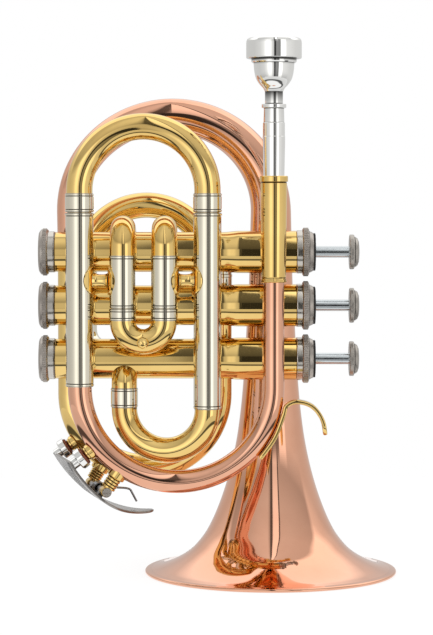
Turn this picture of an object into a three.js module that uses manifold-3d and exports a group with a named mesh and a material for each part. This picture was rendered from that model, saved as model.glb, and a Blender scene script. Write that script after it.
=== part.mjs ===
// Pocket trumpet with three piston valves and a full-size bell, stood on its bell rim.
// Millimetres. +Z is up, along the bell and the leadpipe. The valve buttons point along +X and the
// leadpipe side faces -Y. The origin is the middle of the outline, on the plane that the bell rim
// rests on, so the bell's axis is at Y = 0.
import * as THREE from 'three';
import { mergeVertices } from 'three/addons/utils/BufferGeometryUtils.js';
import Module from 'manifold-3d';

const wasm = await Module();
wasm.setup();

// Clearances
const seatGap = 0.3; // between two pieces that are soldered, screwed or pressed together
const slideGap = 0.3; // round a slide leg or a piston, in its bore
const cutOverrun = 1.5; // by which a cutting tool passes the face that it cuts
const weldDistance = 0.0005; // vertices closer than this are one

// Facets
const bellSides = 16;
const tubeSides = 12;
const boreSides = 6;
const turnedSides = 12;
const finSides = 12;
const bowSteps = 8;
const elbowSteps = 4;
const springStepsPerCurl = 8;
const springSides = 5;

// Bell, its stem and the bow over the top
const bellAxisX = 25;
const bellRimRadius = 62.3;
const bellRimThickness = 1.8;
const bellRimLip = 1.6; // radial width of the flat that the bell stands on
const bellWall = 0.9;
const bellStemTop = 146;
const bellStemRadius = 10.7;
const bellBowAbove = 45; // from the middle valve up to where the bow's two legs meet its arc
const bellBowRise = 47.3;
const bellBowTopRadius = 8.35;
const bellBowStartRadius = 6.4;
const bellNarrowLegLength = 17;
// heights and radii of the flare, down from the stem
const bellFlare = [
  [119.3, 12.3], [86.6, 14.2], [69.7, 16.0], [59.8, 18.3], [48.3, 21.2], [42.8, 22.7],
  [35.9, 24.6], [28.9, 27.4], [23.0, 30.3], [17.9, 33.3], [12.9, 37.6], [8.4, 43.4],
  [5.0, 49.6], [2.9, 55.4],
];

// Valves
const valvePlaneY = -24;
const middleValveZ = 133.5;
const valveGap = 2.3; // between the rings of neighbouring top caps
const casingRadius = 9.6;
const casingUpperRadius = 10.2;
const casingBore = 8.5;
const casingThreadRadius = 9.1;
const casingBottomX = -79.4; // brass edge beside the bottom cap
const casingTopX = 36.7; // brass edge beside the top cap
const casingShoulderX = 2.7;
const casingShoulderLength = 5.3;
const casingThreadLength = 2.6;
const stroke = 16.2;
const bottomCapLength = 7.9;
const bottomCapDiscRadius = 11.4;
const bottomCapDiscLength = 4.6;
const bottomCapSkirtRadius = 9.9;
const bottomCapVentRadius = 2;
const bottomCapFloor = 1.4;
const topCapSkirtRadius = 10.4;
const topCapSkirtLength = 3;
const topCapRingRadius = 11.75;
const topCapRingLength = 3.1;
const topCapTaperLength = 2.1;
const topCapTaperRadius = 10.1;
const topCapNoseRadius = 9.3;
const topCapFloor = 2.2;
const feltLength = 1;
const feltRadius = 9.1;
const stemRadius = 2.75;
const buttonRimRadius = 8.4;
const buttonRimLength = 2.3;
const buttonDomeRadius = 7.25;
const buttonDomeHeight = 2.4;
const stemSpigotLength = 5; // of the stem inside the piston
const stemSpigotRadius = 2;
const pistonTopInset = 14.2; // of the piston's shoulder, below the casing's top
const pistonFootRoom = 10.7; // left under the piston's foot at the end of its stroke
const pistonNeckRadius = 6; // narrower top, which stops the piston under its cap
const pistonRecess = 5; // hollow of the piston's foot, which takes the spring's end
const pistonFootWall = 1;
const ductRadius = 4.1; // passages through a piston
const springCurls = 4;
const springWireRadius = 0.5;
const springRadius = 6.2;
// steps of the button's dome, as shares of its height and radius
const domeShares = [[0, 1], [0.45, 0.86], [0.8, 0.55], [1, 0]];

// Shared tube sizes
const mainTubeRadius = 6.65; // nickel outer tubes of the main tuning slide
const mainTubeBore = 6.1;
const crookRadius = 6.27;
const legRadius = 5.8; // inner slide legs
const legWall = 0.5;
const portRadius = 5.2; // holes in the casings

// Leadpipe and receiver, all in the front plane
const frontGap = 1.05; // between the casings and the main slide's tubes in front of them
const leadpipeX = 25.4;
const leadpipeShoulder = 5.6; // in the receiver, from the mouthpiece's end to the leadpipe's
const leadpipeRadius = 5;
const leadpipeEndRadius = 5.75;
const leadpipeBore = 4.3;
const leadpipeBowBelow = 12.5; // from the third valve down to where the bow starts
const leadpipeBowDrop = 45.2;
const receiverAbove = 62.1; // from the middle valve up to the receiver's top
const receiverLength = 50.5;
const receiverTopRadius = 6.3;
const receiverBottomRadius = 5.8;
const receiverRingRadius = 6.75;
const receiverRingLength = 1.9;
const receiverBeadRadius = 6.2;
const receiverBeadLength = 1.5;
const shankDepth = 24; // of the mouthpiece in the receiver
const shankTaper = 0.35; // drop of the shank's radius over that depth

// Mouthpiece, whose heights are counted down from its rim
const mouthpieceAbove = 65.2; // from the receiver's top up to the rim
const rimRadius = 13.15;
const rimLength = 9.7;
const cupMouthRadius = 8.3;
const cupLipRadius = 10.7;
const cupLipLength = 2;
const cupBodyRadius = 9.7;
const cupLength = 24.2;
const neckRadius = 4.2;
const neckLength = 7.1;
const collarRadius = 5.8;
const collarLength = 1.6;
const shankRadius = 4.75;
const shankRingDrops = [39.9, 46.5];
const shankRingRadius = 5.2;
const shankRingLength = 1.2;
const throatRadius = 1.9;
const throatDrop = 22.8;
const backboreRadius = 3.6;
// outside and inside of the cup, as shares of its height and of its radius, down from the lip
const cupOutsideShares = [[0.35, 0.88], [0.68, 0.66], [0.88, 0.5]];
const cupInsideShares = [[0.12, 1], [0.5, 0.84], [0.8, 0.52]];

// Main tuning slide
const slideCentreX = -36.5; // of all four slides
const mainHalfPitch = 30.4;
const mainTubeAbove = 44.6; // from the middle valve up to the tops of the tubes
const tubeRingRadius = 7; // bead on the open end of an outer tube
const tubeRingLength = 1.3;
const mainCrookLeg = 10.6; // from the tubes up to where the crook bends
const mainFerruleRadius = 6.85;
const mainLegDepth = 46;

// Feed from the tuning slide into the third valve
const feedLeftX = -46.1;
const feedDepth = 7.5; // of the feed's ferrule in front of the valve axes
const feedFerruleBelow = 13.5; // from the third valve down to the ferrule's top
const feedFerruleLength = 9.4;
const feedFerruleRadius = 6.55;
const feedBowRadius = 6.13;
const feedElbowBend = 8;
const feedElbowDegrees = 40;
const feedElbowReach = 6;
const spigotLength = 4;

// Tail of the bell
const tailLeftShift = 6.4; // of its left leg, out from the main slide's
const tailRightShift = 5.4;
const tailGap = 0.5; // between the casings and the tail's socket behind them
const tailBowRise = 3; // of its lower bow above the leadpipe's, at their lowest
const tailRadius = 6.37;
const tailFerruleBelow = 20.3; // from the first valve down to the foot of the elbow's ferrule
const tailFerruleLength = 9;
const tailElbowBend = 8.7;
const tailSocketLength = 6;
const tailSocketRadius = 7.4;

// First valve slide
const firstHalfPitch = 9.85;
const firstPlane = 21.1; // in front of the valve axes
const firstTubeLength = 25;
const firstTubeRadius = 6.15;
const firstTubeBore = 5.65;
const firstLegRadius = 5.35;
const firstLegDepth = 21;
const firstFerruleLength = 5.5;
const firstBeadRadius = 6.6;
const firstCrookRadius = 6.05;
const gooseneckInset = 3.2; // of its end, in front of the valve axis
const gooseneckLift = 2; // of the start of its bend, above the valve axis
const gooseneckLeg = 3;
const gooseneckDegrees = 152;
const knobFootRadius = 1.6;
const knobFootLength = 1.6;
const knobRadius = 2.8;
const knobShares = [-0.8, -0.4, 0, 0.4, 0.8]; // stations along the ball, of its radius

// Second valve slide, which points backwards
const secondHalfPitch = 12;
const secondTubeLength = 20;
const secondLegGap = 3; // between the casing and the slide's legs
const secondFerruleLength = 3.8;

// Third valve slide, upright behind the tail
const thirdShift = 1.1; // of its legs, out from the main slide's
const thirdGap = 0.6; // between the tail's socket and the beads of the slide's tubes behind it
const thirdElbowShift = 16; // sideways, from its port to its leg
const thirdElbowReach = 12; // how far the elbow holds its way out of the casing
const thirdElbowRise = 13;
const thirdElbowLead = 14; // how far below its end the elbow aims
const thirdTubeAbove = 35.3; // from the third valve up to the tops of the tubes
const thirdCrookLeg = 7.5;
const thirdLegGap = 1.3; // between the elbow and the slide's legs
const thirdFerruleLength = 6;

// Knuckles between the casings
const knuckleX = -5.9;
const knuckleRadius = 6.2;

// Braces beside the first slide, and the one from the receiver to the bell
const braceDrop = 12; // below the tops of the first slide's tubes
const bellBraceGap = 3.3; // between the first casing and the rod that passes over it
const braceRodRadius = 3.2;
const braceFlangeRadius = 7;
const braceFlangeThickness = 0.8;

// Pinky hook
const hookWidth = 8;
const hookThickness = 2;
const hookFootDegrees = [41, 14]; // below the horizontal, along the leadpipe's bow
// middle of the strip past its foot, out and up from the end of the leadpipe's straight
const hookPath = [[6, -9], [9.8, -7], [14, -7.3], [18, -8.9], [21.1, -11.9], [23.6, -16.6], [24.7, -22.8]];

// Water key on the two lower bows. Its hinge is skewed, because the bows don't stand one behind the
// other, and along the hinge places are counted from the front of the pivot screw's head.
const keyPivotInset = 13.1; // of the hinge, from the main slide's left tube towards the middle
const keyPivotBelow = 4.8; // of the hinge, under the middle of the leadpipe's bow at its lowest
const keySkewDegrees = 14;
const pivotRadius = 1;
const pivotHeadRadius = 2.25;
const pivotHeadLength = 1.2;
const pivotSlotWidth = 0.6;
const pivotSlotDepth = 0.6;
const pivotInset = 0.5; // of the screw's end, in the rear eye
const postHalf = 2.83; // half the length of each post's eye
const postRadius = 2.1;
const postRibRadius = 2.9;
const postRibLength = 1.1;
const postFootRadius = 4.5;
const postFootHeight = 1.2;
const postEyeRadius = 2.6;
const barrelRadius = 1.9;
const barrelWebWidth = 2.4;
const leverCentreAcross = 41.1; // centre of the lever plate's arc, in the front plane, from the hinge
const leverCentreAbove = 47.3;
const leverStand = 3.94; // of the plate, outside the hinge
const leverThickness = 1.2;
const leverHeelDegrees = 0.8; // of the plate, past the middle of the rear cup
const leverLiftDegrees = 48; // where the finger end starts to lift off its radius
const leverTaperDegrees = 50; // where it starts to narrow
const leverEndDegrees = 77;
const leverSteps = 10;
const leverOverhang = 4; // of the plate past the planes of the two bows
const leverTipHalfWidth = 4.5;
const leverTipLift = 9;
const nippleRadius = 3.9;
const nippleHoleRadius = 1.3;
const nippleHeight = 2.3;
const nippleFrontDegrees = 37.2; // below the horizontal, about the centre of each bow
const nippleRearDegrees = 34.6;
const corkRadius = 4.3;
const corkThickness = 2.6;
const cupRadius = 5.1;
const cupFloor = 1.4;
const cupDepth = 2;
const cupStemRadius = 2.6;
const keySpringCurls = 5;
const keySpringRadius = 2.55;
const keySpringWireRadius = 0.3;
const keySpringPitch = 1.2;
const keySpringStart = 18; // along the hinge
const keySpringArmAlong = 6; // of the arm's end, over from its start along the hinge
// knee and end of the spring's arm, across from the pivot and up from it
const keySpringArm = [[8.2, 2.4], [13.5, -6.2]];

// Finishes
const roseCopper = () => new THREE.MeshStandardMaterial({ color: 0xd99a7c, roughness: 0.18, metalness: 1 });
const lacqueredBrass = () => (
  new THREE.MeshStandardMaterial({ color: 0xe0b45a, roughness: 0.15, metalness: 1 })
);
const nickelSilver = () => new THREE.MeshStandardMaterial({ color: 0xcfcbc0, roughness: 0.2, metalness: 1 });
const silverPlate = () => new THREE.MeshStandardMaterial({ color: 0xe4e4e2, roughness: 0.1, metalness: 1 });
const dullNickel = () => new THREE.MeshStandardMaterial({ color: 0x8c8681, roughness: 0.35, metalness: 1 });
const springSteel = () => new THREE.MeshStandardMaterial({ color: 0x85898c, roughness: 0.3, metalness: 1 });
const cork = () => new THREE.MeshStandardMaterial({ color: 0x8a4a34, roughness: 0.9, metalness: 0 });
const felt = () => new THREE.MeshStandardMaterial({ color: 0x2d2b2b, roughness: 0.95, metalness: 0 });

// Places that follow from the sizes above, first the depths
const frontY = valvePlaneY - casingRadius - frontGap - mainTubeRadius;
const tailY = valvePlaneY + casingRadius + tailGap + tailSocketRadius;
const thirdY = tailY + tailSocketRadius + thirdGap + tubeRingRadius;
const firstY = valvePlaneY - firstPlane;
const feedY = valvePlaneY - feedDepth;

// Places along the valves
const capEndX = casingBottomX - bottomCapLength;
const capFloorX = capEndX + bottomCapFloor;
const capRingX = casingTopX + topCapSkirtLength;
const capTaperX = capRingX + topCapRingLength;
const capNoseX = capTaperX + topCapTaperLength;
const capCeilingX = capNoseX - topCapFloor;
const feltTopX = capNoseX + feltLength;
const pistonFootX = capFloorX + pistonFootRoom + stroke;
const pistonTopX = casingTopX - pistonTopInset;
const pistonNeckTopX = capCeilingX - seatGap;
const mainLeftX = slideCentreX - mainHalfPitch;
const mainRightX = slideCentreX + mainHalfPitch;
const tailLeftX = mainLeftX - tailLeftShift;
const tailRightX = mainRightX + tailRightShift;
const thirdHalfPitch = mainHalfPitch + thirdShift;
const thirdPortHalfPitch = thirdHalfPitch - thirdElbowShift;
const leadpipeBowHalf = (leadpipeX - mainLeftX) / 2;
const leadpipeBowX = (leadpipeX + mainLeftX) / 2;
const tailBowRadius = (tailRightX - tailLeftX) / 2;
const tailBowX = (tailRightX + tailLeftX) / 2;

// Heights
const valvePitch = 2 * topCapRingRadius + valveGap;
const valveZ = [1, 0, -1].map((step) => middleValveZ + step * valvePitch);
const bellBowHeight = middleValveZ + bellBowAbove;
const bellBowStart = bellBowHeight - bellNarrowLegLength;
const receiverTop = middleValveZ + receiverAbove;
const receiverBottom = receiverTop - receiverLength;
const mouthpieceTop = receiverTop + mouthpieceAbove;
const leadpipeTop = receiverTop - shankDepth - leadpipeShoulder;
const leadpipeBowHeight = valveZ[2] - leadpipeBowBelow;
const leadpipeBowFoot = leadpipeBowHeight - leadpipeBowDrop;
const tailBowHeight = leadpipeBowFoot + tailBowRise + tailBowRadius;
const tailFerruleFoot = valveZ[0] - tailFerruleBelow;
const mainTubeTop = middleValveZ + mainTubeAbove;
const mainCrookHeight = mainTubeTop + mainCrookLeg;
const mainLeftFoot = leadpipeBowHeight + seatGap;
const feedFerruleTop = valveZ[2] - feedFerruleBelow;
const feedFerruleFoot = feedFerruleTop - feedFerruleLength;
const gooseneckHeight = valveZ[0] + gooseneckLift;
const firstTubeTop = gooseneckHeight - gooseneckLeg - seatGap;
const firstTubeFoot = firstTubeTop - firstTubeLength;
const firstCrookHeight = firstTubeFoot - firstFerruleLength - 2 * seatGap;
const thirdTubeTop = valveZ[2] + thirdTubeAbove;
const keyPivotZ = leadpipeBowFoot - keyPivotBelow;

// Other sizes
const legBore = legRadius - legWall;
const firstLegBore = firstLegRadius - legWall;
const gooseneckBend = (firstPlane - gooseneckInset) / (1 - Math.cos(degrees(gooseneckDegrees)));
const leverRadius = Math.hypot(leverCentreAcross, leverCentreAbove) + leverStand;

const object = new THREE.Group();

function degrees(angle) {
  return THREE.MathUtils.degToRad(angle);
}

function vector(x, y, z) {
  return new THREE.Vector3(x, y, z);
}

// A centreline kept as stations, each a point with its direction. A straight run needs only its two
// ends, and a bend has a station at each of its steps.
class Route extends THREE.Curve {
  constructor(points, directions) {
    super();
    this.points = points;
    this.directions = directions;
    this.lengths = [0];
    for (let i = 1; i < points.length; i += 1) {
      this.lengths.push(this.lengths[i - 1] + points[i].distanceTo(points[i - 1]));
    }
  }

  get steps() {
    return this.points.length - 1;
  }

  get length() {
    return this.lengths[this.steps];
  }

  getPointAt(share, target = new THREE.Vector3()) {
    return target.copy(this.points[Math.round(share * this.steps)]);
  }

  getTangentAt(share, target = new THREE.Vector3()) {
    return target.copy(this.directions[Math.round(share * this.steps)]);
  }

  // The same route, carried straight on past both ends
  extended(distance) {
    const points = this.points.map((point) => point.clone());
    points[0].addScaledVector(this.directions[0], -distance);
    points[this.steps].addScaledVector(this.directions[this.steps], distance);
    return new Route(points, this.directions);
  }

  // Keeps the frames from twisting: every normal is the reference, laid square to the route
  refer(reference) {
    const normals = this.directions.map((way) => (
      reference.clone().addScaledVector(way, -reference.dot(way)).normalize()
    ));
    const binormals = this.directions.map((way, i) => way.clone().cross(normals[i]));
    this.frames = { normals, binormals };
    return this;
  }

  // Point, normal and binormal a distance along the route
  frameAt(distance) {
    this.frames ??= this.computeFrenetFrames(this.steps, false);
    let i = 1;
    while (i < this.steps && this.lengths[i] < distance) {
      i += 1;
    }
    const share = (distance - this.lengths[i - 1]) / (this.lengths[i] - this.lengths[i - 1]);
    const blend = (list) => list[i - 1].clone().lerp(list[i], share);
    return {
      point: blend(this.points),
      normal: blend(this.frames.normals).normalize(),
      side: blend(this.frames.binormals).normalize(),
    };
  }
}

// Joins straight runs and bends into one route. A run is {to}, and a bend is {at, steps}, where at(t)
// gives the point for t from 0 to 1.
function routeFrom(start, pieces) {
  const points = [start];
  const directions = [];
  const nudge = 1e-4;
  for (const piece of pieces) {
    const from = points[points.length - 1];
    if (piece.to) {
      const direction = piece.to.clone().sub(from).normalize();
      directions[points.length - 1] = direction;
      points.push(piece.to);
      directions[points.length - 1] = direction.clone();
    } else {
      for (let step = 0; step <= piece.steps; step += 1) {
        const t = step / piece.steps;
        const before = piece.at(Math.max(0, t - nudge));
        const after = piece.at(Math.min(1, t + nudge));
        const direction = after.sub(before).normalize();
        if (step > 0) {
          points.push(piece.at(t));
        }
        directions[points.length - 1] = direction;
      }
    }
  }
  return new Route(points, directions);
}

// A half turn in an upright plane, from one leg to the other, bulging up or down by rise. The plane
// may lean, because Y goes evenly from one leg's depth to the other's.
function bow(from, to, rise) {
  return (t) => {
    const angle = Math.PI * t;
    const across = (1 - Math.cos(angle)) / 2;
    return vector(
      THREE.MathUtils.lerp(from.x, to.x, across),
      THREE.MathUtils.lerp(from.y, to.y, across),
      from.z + rise * Math.sin(angle),
    );
  };
}

function merged(geometry) {
  const bare = geometry.clone();
  bare.deleteAttribute('normal');
  bare.deleteAttribute('uv');
  const joined = mergeVertices(bare, weldDistance);
  const kept = [];
  const { array } = joined.index;
  for (let i = 0; i < array.length; i += 3) {
    const [a, b, c] = [array[i], array[i + 1], array[i + 2]];
    if (a !== b && b !== c && c !== a) {
      kept.push(a, b, c);
    }
  }
  joined.setIndex(kept);
  return joined;
}

function toSolid(geometry) {
  const joined = merged(geometry);
  return new wasm.Manifold(new wasm.Mesh({
    numProp: 3,
    vertProperties: new Float32Array(joined.getAttribute('position').array),
    triVerts: new Uint32Array(joined.index.array),
  }));
}

function toGeometry(solid) {
  const mesh = solid.getMesh();
  const geometry = new THREE.BufferGeometry();
  geometry.setAttribute('position', new THREE.BufferAttribute(mesh.vertProperties, 3));
  geometry.setIndex(new THREE.BufferAttribute(mesh.triVerts, 1));
  geometry.computeVertexNormals();
  return geometry;
}

function add(name, shape, material, parent = object) {
  const geometry = shape instanceof THREE.BufferGeometry ? shape : toGeometry(shape);
  const mesh = new THREE.Mesh(geometry, material);
  mesh.name = name;
  parent.add(mesh);
  return mesh;
}

// Turns a profile of [distance, radius] pairs about the Y axis
function turned(profile, sides = turnedSides) {
  return new THREE.LatheGeometry(profile.map(([along, radius]) => new THREE.Vector2(radius, along)), sides);
}

function turnedAlongX(profile, sides) {
  return turned(profile, sides).rotateZ(-Math.PI / 2);
}

function turnedAlongZ(profile, sides) {
  return turned(profile, sides).rotateX(Math.PI / 2);
}

// Adds a pair for each station of the route to a profile, so that it can follow the bends
function profileAlong(route, rings) {
  const profile = [];
  rings.forEach(([along, radius], i) => {
    if (i > 0) {
      const [lastAlong, lastRadius] = rings[i - 1];
      for (const length of route.lengths) {
        if (length > lastAlong + seatGap && length < along - seatGap) {
          const share = (length - lastAlong) / (along - lastAlong);
          profile.push([length, THREE.MathUtils.lerp(lastRadius, radius, share)]);
        }
      }
    }
    profile.push([along, radius]);
  });
  return profile;
}

// Bends a piece that was turned about the Y axis along a route, as a tube is bent
function bentAlong(geometry, route) {
  const position = geometry.getAttribute('position');
  for (let i = 0; i < position.count; i += 1) {
    const { point, normal, side } = route.frameAt(position.getY(i));
    point.addScaledVector(normal, -position.getX(i)).addScaledVector(side, position.getZ(i));
    position.setXYZ(i, point.x, point.y, point.z);
  }
  return geometry;
}

// A bore is a round wire along the route, carried past both ends
function boreAlong(route, radius, sides) {
  const section = new THREE.Shape().absarc(0, 0, radius, 0, 2 * Math.PI, false);
  const path = route.extended(cutOverrun);
  return toSolid(new THREE.ExtrudeGeometry(section, {
    steps: path.steps, curveSegments: sides / 2, extrudePath: path, bevelEnabled: false,
  }));
}

// A solid round rod along a route. Its outside follows rings of [distance, radius].
function rod(route, rings, sides = tubeSides) {
  const profile = profileAlong(route, rings);
  const closed = [[profile[0][0], 0], ...profile, [profile[profile.length - 1][0], 0]];
  return toSolid(bentAlong(turned(closed, sides), route));
}

// A tube is such a rod with an even bore
function tube(route, rings, bore, facets = boreSides) {
  return rod(route, rings).subtract(boreAlong(route, bore, facets));
}

function evenRings(route, radius) {
  return [[0, radius], [route.length, radius]];
}

// A straight tube along Z, bored round enough for a slide leg or a spigot
function straightTube(x, y, from, to, rings, bore) {
  const route = routeFrom(vector(x, y, from), [{ to: vector(x, y, to) }]);
  return tube(route, rings, bore, tubeSides);
}

// Joins cross-sections of as many points each into a closed body
function loft(sections) {
  const count = sections[0].length;
  const points = sections.flat().flatMap((point) => point.toArray());
  const index = [];
  for (let s = 0; s + 1 < sections.length; s += 1) {
    for (let i = 0; i < count; i += 1) {
      const a = s * count + i;
      const b = s * count + ((i + 1) % count);
      index.push(a, b, b + count, a, b + count, a + count);
    }
  }
  const last = (sections.length - 1) * count;
  for (let i = 1; i + 1 < count; i += 1) {
    index.push(0, i + 1, i, last, last + i, last + i + 1);
  }
  const geometry = new THREE.BufferGeometry();
  geometry.setAttribute('position', new THREE.Float32BufferAttribute(points, 3));
  geometry.setIndex(index);
  return geometry;
}

// A round bar between two points
function bar(from, to, radius, sides = turnedSides) {
  const length = from.distanceTo(to);
  const geometry = turned([[0, 0], [0, radius], [length, radius], [length, 0]], sides);
  const turn = new THREE.Quaternion().setFromUnitVectors(vector(0, 1, 0), to.clone().sub(from).normalize());
  return geometry.applyQuaternion(turn).translate(from.x, from.y, from.z);
}

// Outside of a casing with a gap round it, for cutting what is soldered to it
function casingEnvelope(y, z) {
  const lower = casingRadius + seatGap;
  const upper = casingUpperRadius + seatGap;
  const profile = [
    [casingBottomX, 0], [casingBottomX, lower], [casingShoulderX, lower],
    [casingShoulderX + casingShoulderLength, upper], [casingTopX, upper], [casingTopX, 0],
  ];
  return toSolid(turnedAlongX(profile).translate(0, y, z));
}

// Least gap of a wire to itself, between stations that are at least half a curl apart
function leastGap(points, wire) {
  let least = Infinity;
  const apart = springStepsPerCurl / 2;
  for (let i = 0; i < points.length; i += 1) {
    for (let k = i + apart; k < points.length; k += 1) {
      least = Math.min(least, points[i].distanceTo(points[k]) - 2 * wire);
    }
  }
  return least;
}

// A helical spring about the Y axis, with a straight arm on its far end where one is given
function helix(name, curls, radius, wire, pitch, arm = []) {
  const points = [];
  for (let step = 0; step <= curls * springStepsPerCurl; step += 1) {
    const turn = step / springStepsPerCurl;
    const angle = 2 * Math.PI * turn;
    points.push(vector(radius * Math.cos(angle), pitch * turn, radius * Math.sin(angle)));
  }
  points.push(...arm);
  console.log(`${name}: least gap to itself ${leastGap(points, wire).toFixed(2)} mm`);
  const sections = points.map((point, i) => {
    const before = points[Math.max(0, i - 1)];
    const after = points[Math.min(points.length - 1, i + 1)];
    const along = after.clone().sub(before).normalize();
    const side = vector(0, 1, 0).cross(along).normalize();
    const up = along.clone().cross(side);
    return Array.from({ length: springSides }, (_, k) => {
      const angle = (2 * Math.PI * k) / springSides;
      return point.clone().addScaledVector(side, wire * Math.cos(angle))
        .addScaledVector(up, wire * Math.sin(angle));
    });
  });
  return loft(sections);
}

// Bell
function buildBell() {
  const left = vector(tailLeftX, tailY, bellBowHeight);
  const right = vector(bellAxisX, 0, bellBowHeight);
  const foot = vector(bellAxisX, 0, 0);
  const route = routeFrom(vector(tailLeftX, tailY, bellBowStart), [
    { to: left },
    { at: bow(left, right, bellBowRise), steps: bowSteps + 2 },
    { to: foot },
  ]).refer(vector(0, 1, 0));
  const arcStart = route.lengths[1];
  const arcEnd = route.length - bellBowHeight;
  const arcTop = (arcStart + arcEnd) / 2;
  const heightAt = (z) => route.length - z;
  const outer = [
    [0, bellBowStartRadius],
    [arcStart, bellBowStartRadius + bellWall / 3],
    [arcTop, bellBowTopRadius],
    [heightAt(bellStemTop), bellStemRadius],
    ...bellFlare.map(([z, radius]) => [heightAt(z), radius]),
    [heightAt(bellRimThickness), bellRimRadius - bellRimThickness / 2],
    [heightAt(bellRimThickness / 2), bellRimRadius],
    [heightAt(0), bellRimRadius - bellRimThickness / 4],
  ];
  const flareInside = bellFlare.slice().reverse().map(([z, radius]) => [heightAt(z), radius - bellWall]);
  const inner = [
    [heightAt(0), bellRimRadius - bellRimThickness / 4 - bellRimLip],
    ...flareInside,
    [heightAt(bellStemTop), bellStemRadius - bellWall],
    [arcTop, bellBowTopRadius - bellWall],
    [arcStart, bellBowStartRadius - bellWall * 2 / 3],
    [0, bellBowStartRadius - bellWall],
  ];
  const outside = profileAlong(route, outer);
  const inside = profileAlong(route, inner.slice().reverse()).reverse();
  const wall = [...outside, ...inside, outside[0]];
  add('bell', bentAlong(turned(wall, bellSides), route), roseCopper());
}

// Valves
function casingPorts(valve) {
  const down = vector(0, 0, -1);
  const up = vector(0, 0, 1);
  const back = vector(0, 1, 0);
  const neck = vector(0, -Math.sin(degrees(gooseneckDegrees)), -Math.cos(degrees(gooseneckDegrees)));
  const feed = vector(0, -Math.sin(degrees(feedElbowDegrees)), -Math.cos(degrees(feedElbowDegrees)));
  const ports = [
    [
      [knuckleX, down], [tailRightX, back],
      [slideCentreX - firstHalfPitch, neck], [slideCentreX + firstHalfPitch, neck],
    ],
    [
      [knuckleX, down], [knuckleX, up],
      [slideCentreX - secondHalfPitch, back], [slideCentreX + secondHalfPitch, back],
    ],
    [
      [knuckleX, up], [feedLeftX, feed],
      [slideCentreX - thirdPortHalfPitch, back], [slideCentreX + thirdPortHalfPitch, back],
    ],
  ];
  return ports[valve];
}

function buildCasing(valve, group) {
  const mouth = casingTopX + casingThreadLength;
  const foot = casingBottomX - casingThreadLength;
  const shell = turnedAlongX([
    [foot, casingBore], [foot, casingThreadRadius], [casingBottomX, casingThreadRadius],
    [casingBottomX, casingRadius], [casingShoulderX, casingRadius],
    [casingShoulderX + casingShoulderLength, casingUpperRadius], [casingTopX, casingUpperRadius],
    [casingTopX, casingThreadRadius], [mouth, casingThreadRadius], [mouth, casingBore],
    [foot, casingBore],
  ]);
  let casing = toSolid(shell);
  for (const [x, direction] of casingPorts(valve)) {
    const centre = vector(x, 0, 0);
    const reach = centre.clone().addScaledVector(direction, casingUpperRadius + cutOverrun);
    casing = casing.subtract(toSolid(bar(centre, reach, portRadius, boreSides)));
  }
  add(`valve_casing_${valve + 1}`, casing, lacqueredBrass(), group);
}

function buildBottomCap(valve, group) {
  const discEnd = capEndX + bottomCapDiscLength;
  const skirtEnd = casingBottomX - seatGap;
  const threadFoot = skirtEnd - casingThreadLength;
  const socket = casingThreadRadius + seatGap;
  const liner = casingBore - seatGap;
  const cap = turnedAlongX([
    [capEndX, bottomCapVentRadius], [capEndX, bottomCapDiscRadius - bottomCapFloor],
    [capFloorX, bottomCapDiscRadius], [discEnd - bottomCapFloor / 2, bottomCapDiscRadius],
    [discEnd, bottomCapSkirtRadius], [skirtEnd, bottomCapSkirtRadius], [skirtEnd, socket],
    [threadFoot, socket], [threadFoot, liner], [capFloorX, liner], [capFloorX, bottomCapVentRadius],
    [capEndX, bottomCapVentRadius],
  ], finSides);
  add(`bottom_cap_${valve + 1}`, cap, dullNickel(), group);
}

function buildTopCap(valve, group) {
  const skirt = casingTopX + seatGap;
  const threadTop = skirt + casingThreadLength;
  const socket = casingThreadRadius + seatGap;
  const liner = casingBore - seatGap;
  const hole = stemRadius + slideGap;
  const cap = turnedAlongX([
    [skirt, socket], [skirt, topCapSkirtRadius], [capRingX, topCapSkirtRadius],
    [capRingX, topCapRingRadius], [capTaperX, topCapRingRadius], [capTaperX, topCapTaperRadius],
    [capNoseX, topCapNoseRadius], [capNoseX, hole], [capCeilingX, hole], [capCeilingX, liner],
    [threadTop, liner], [threadTop, socket], [skirt, socket],
  ], finSides);
  add(`top_cap_${valve + 1}`, cap, dullNickel(), group);
}

function buildFelt(valve, group) {
  const foot = capNoseX + seatGap;
  const hole = stemRadius + slideGap;
  const ring = turnedAlongX([
    [foot, hole], [foot, feltRadius], [feltTopX, feltRadius], [feltTopX, hole], [foot, hole],
  ]);
  add(`cap_felt_${valve + 1}`, ring, felt(), group);
}

// The passage that a piston opens between its first two ports when it is up
function openPassage(valve) {
  const [[fromX, fromWay], [toX, toWay]] = casingPorts(valve);
  const from = vector(fromX, 0, 0);
  const to = vector(toX, 0, 0);
  const reach = casingBore + cutOverrun;
  const first = bar(from, from.clone().addScaledVector(fromWay, reach), ductRadius, boreSides);
  const second = bar(to, to.clone().addScaledVector(toWay, reach), ductRadius, boreSides);
  const joined = toSolid(first).add(toSolid(second));
  return fromX === toX ? joined : joined.add(toSolid(bar(from, to, ductRadius, boreSides)));
}

function buildPiston(valve, group) {
  const radius = casingBore - slideGap;
  const recess = pistonFootX + pistonRecess;
  const recessRadius = radius - pistonFootWall;
  const socketFoot = pistonNeckTopX - stemSpigotLength - seatGap;
  const socketRadius = stemSpigotRadius + seatGap;
  const body = turnedAlongX([
    [recess, 0], [recess, recessRadius], [pistonFootX, recessRadius], [pistonFootX, radius],
    [pistonTopX, radius], [pistonTopX, pistonNeckRadius], [pistonNeckTopX, pistonNeckRadius],
    [pistonNeckTopX, socketRadius], [socketFoot, socketRadius], [socketFoot, 0],
  ]);
  add(`piston_${valve + 1}`, toSolid(body).subtract(openPassage(valve)), nickelSilver(), group);
}

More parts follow.
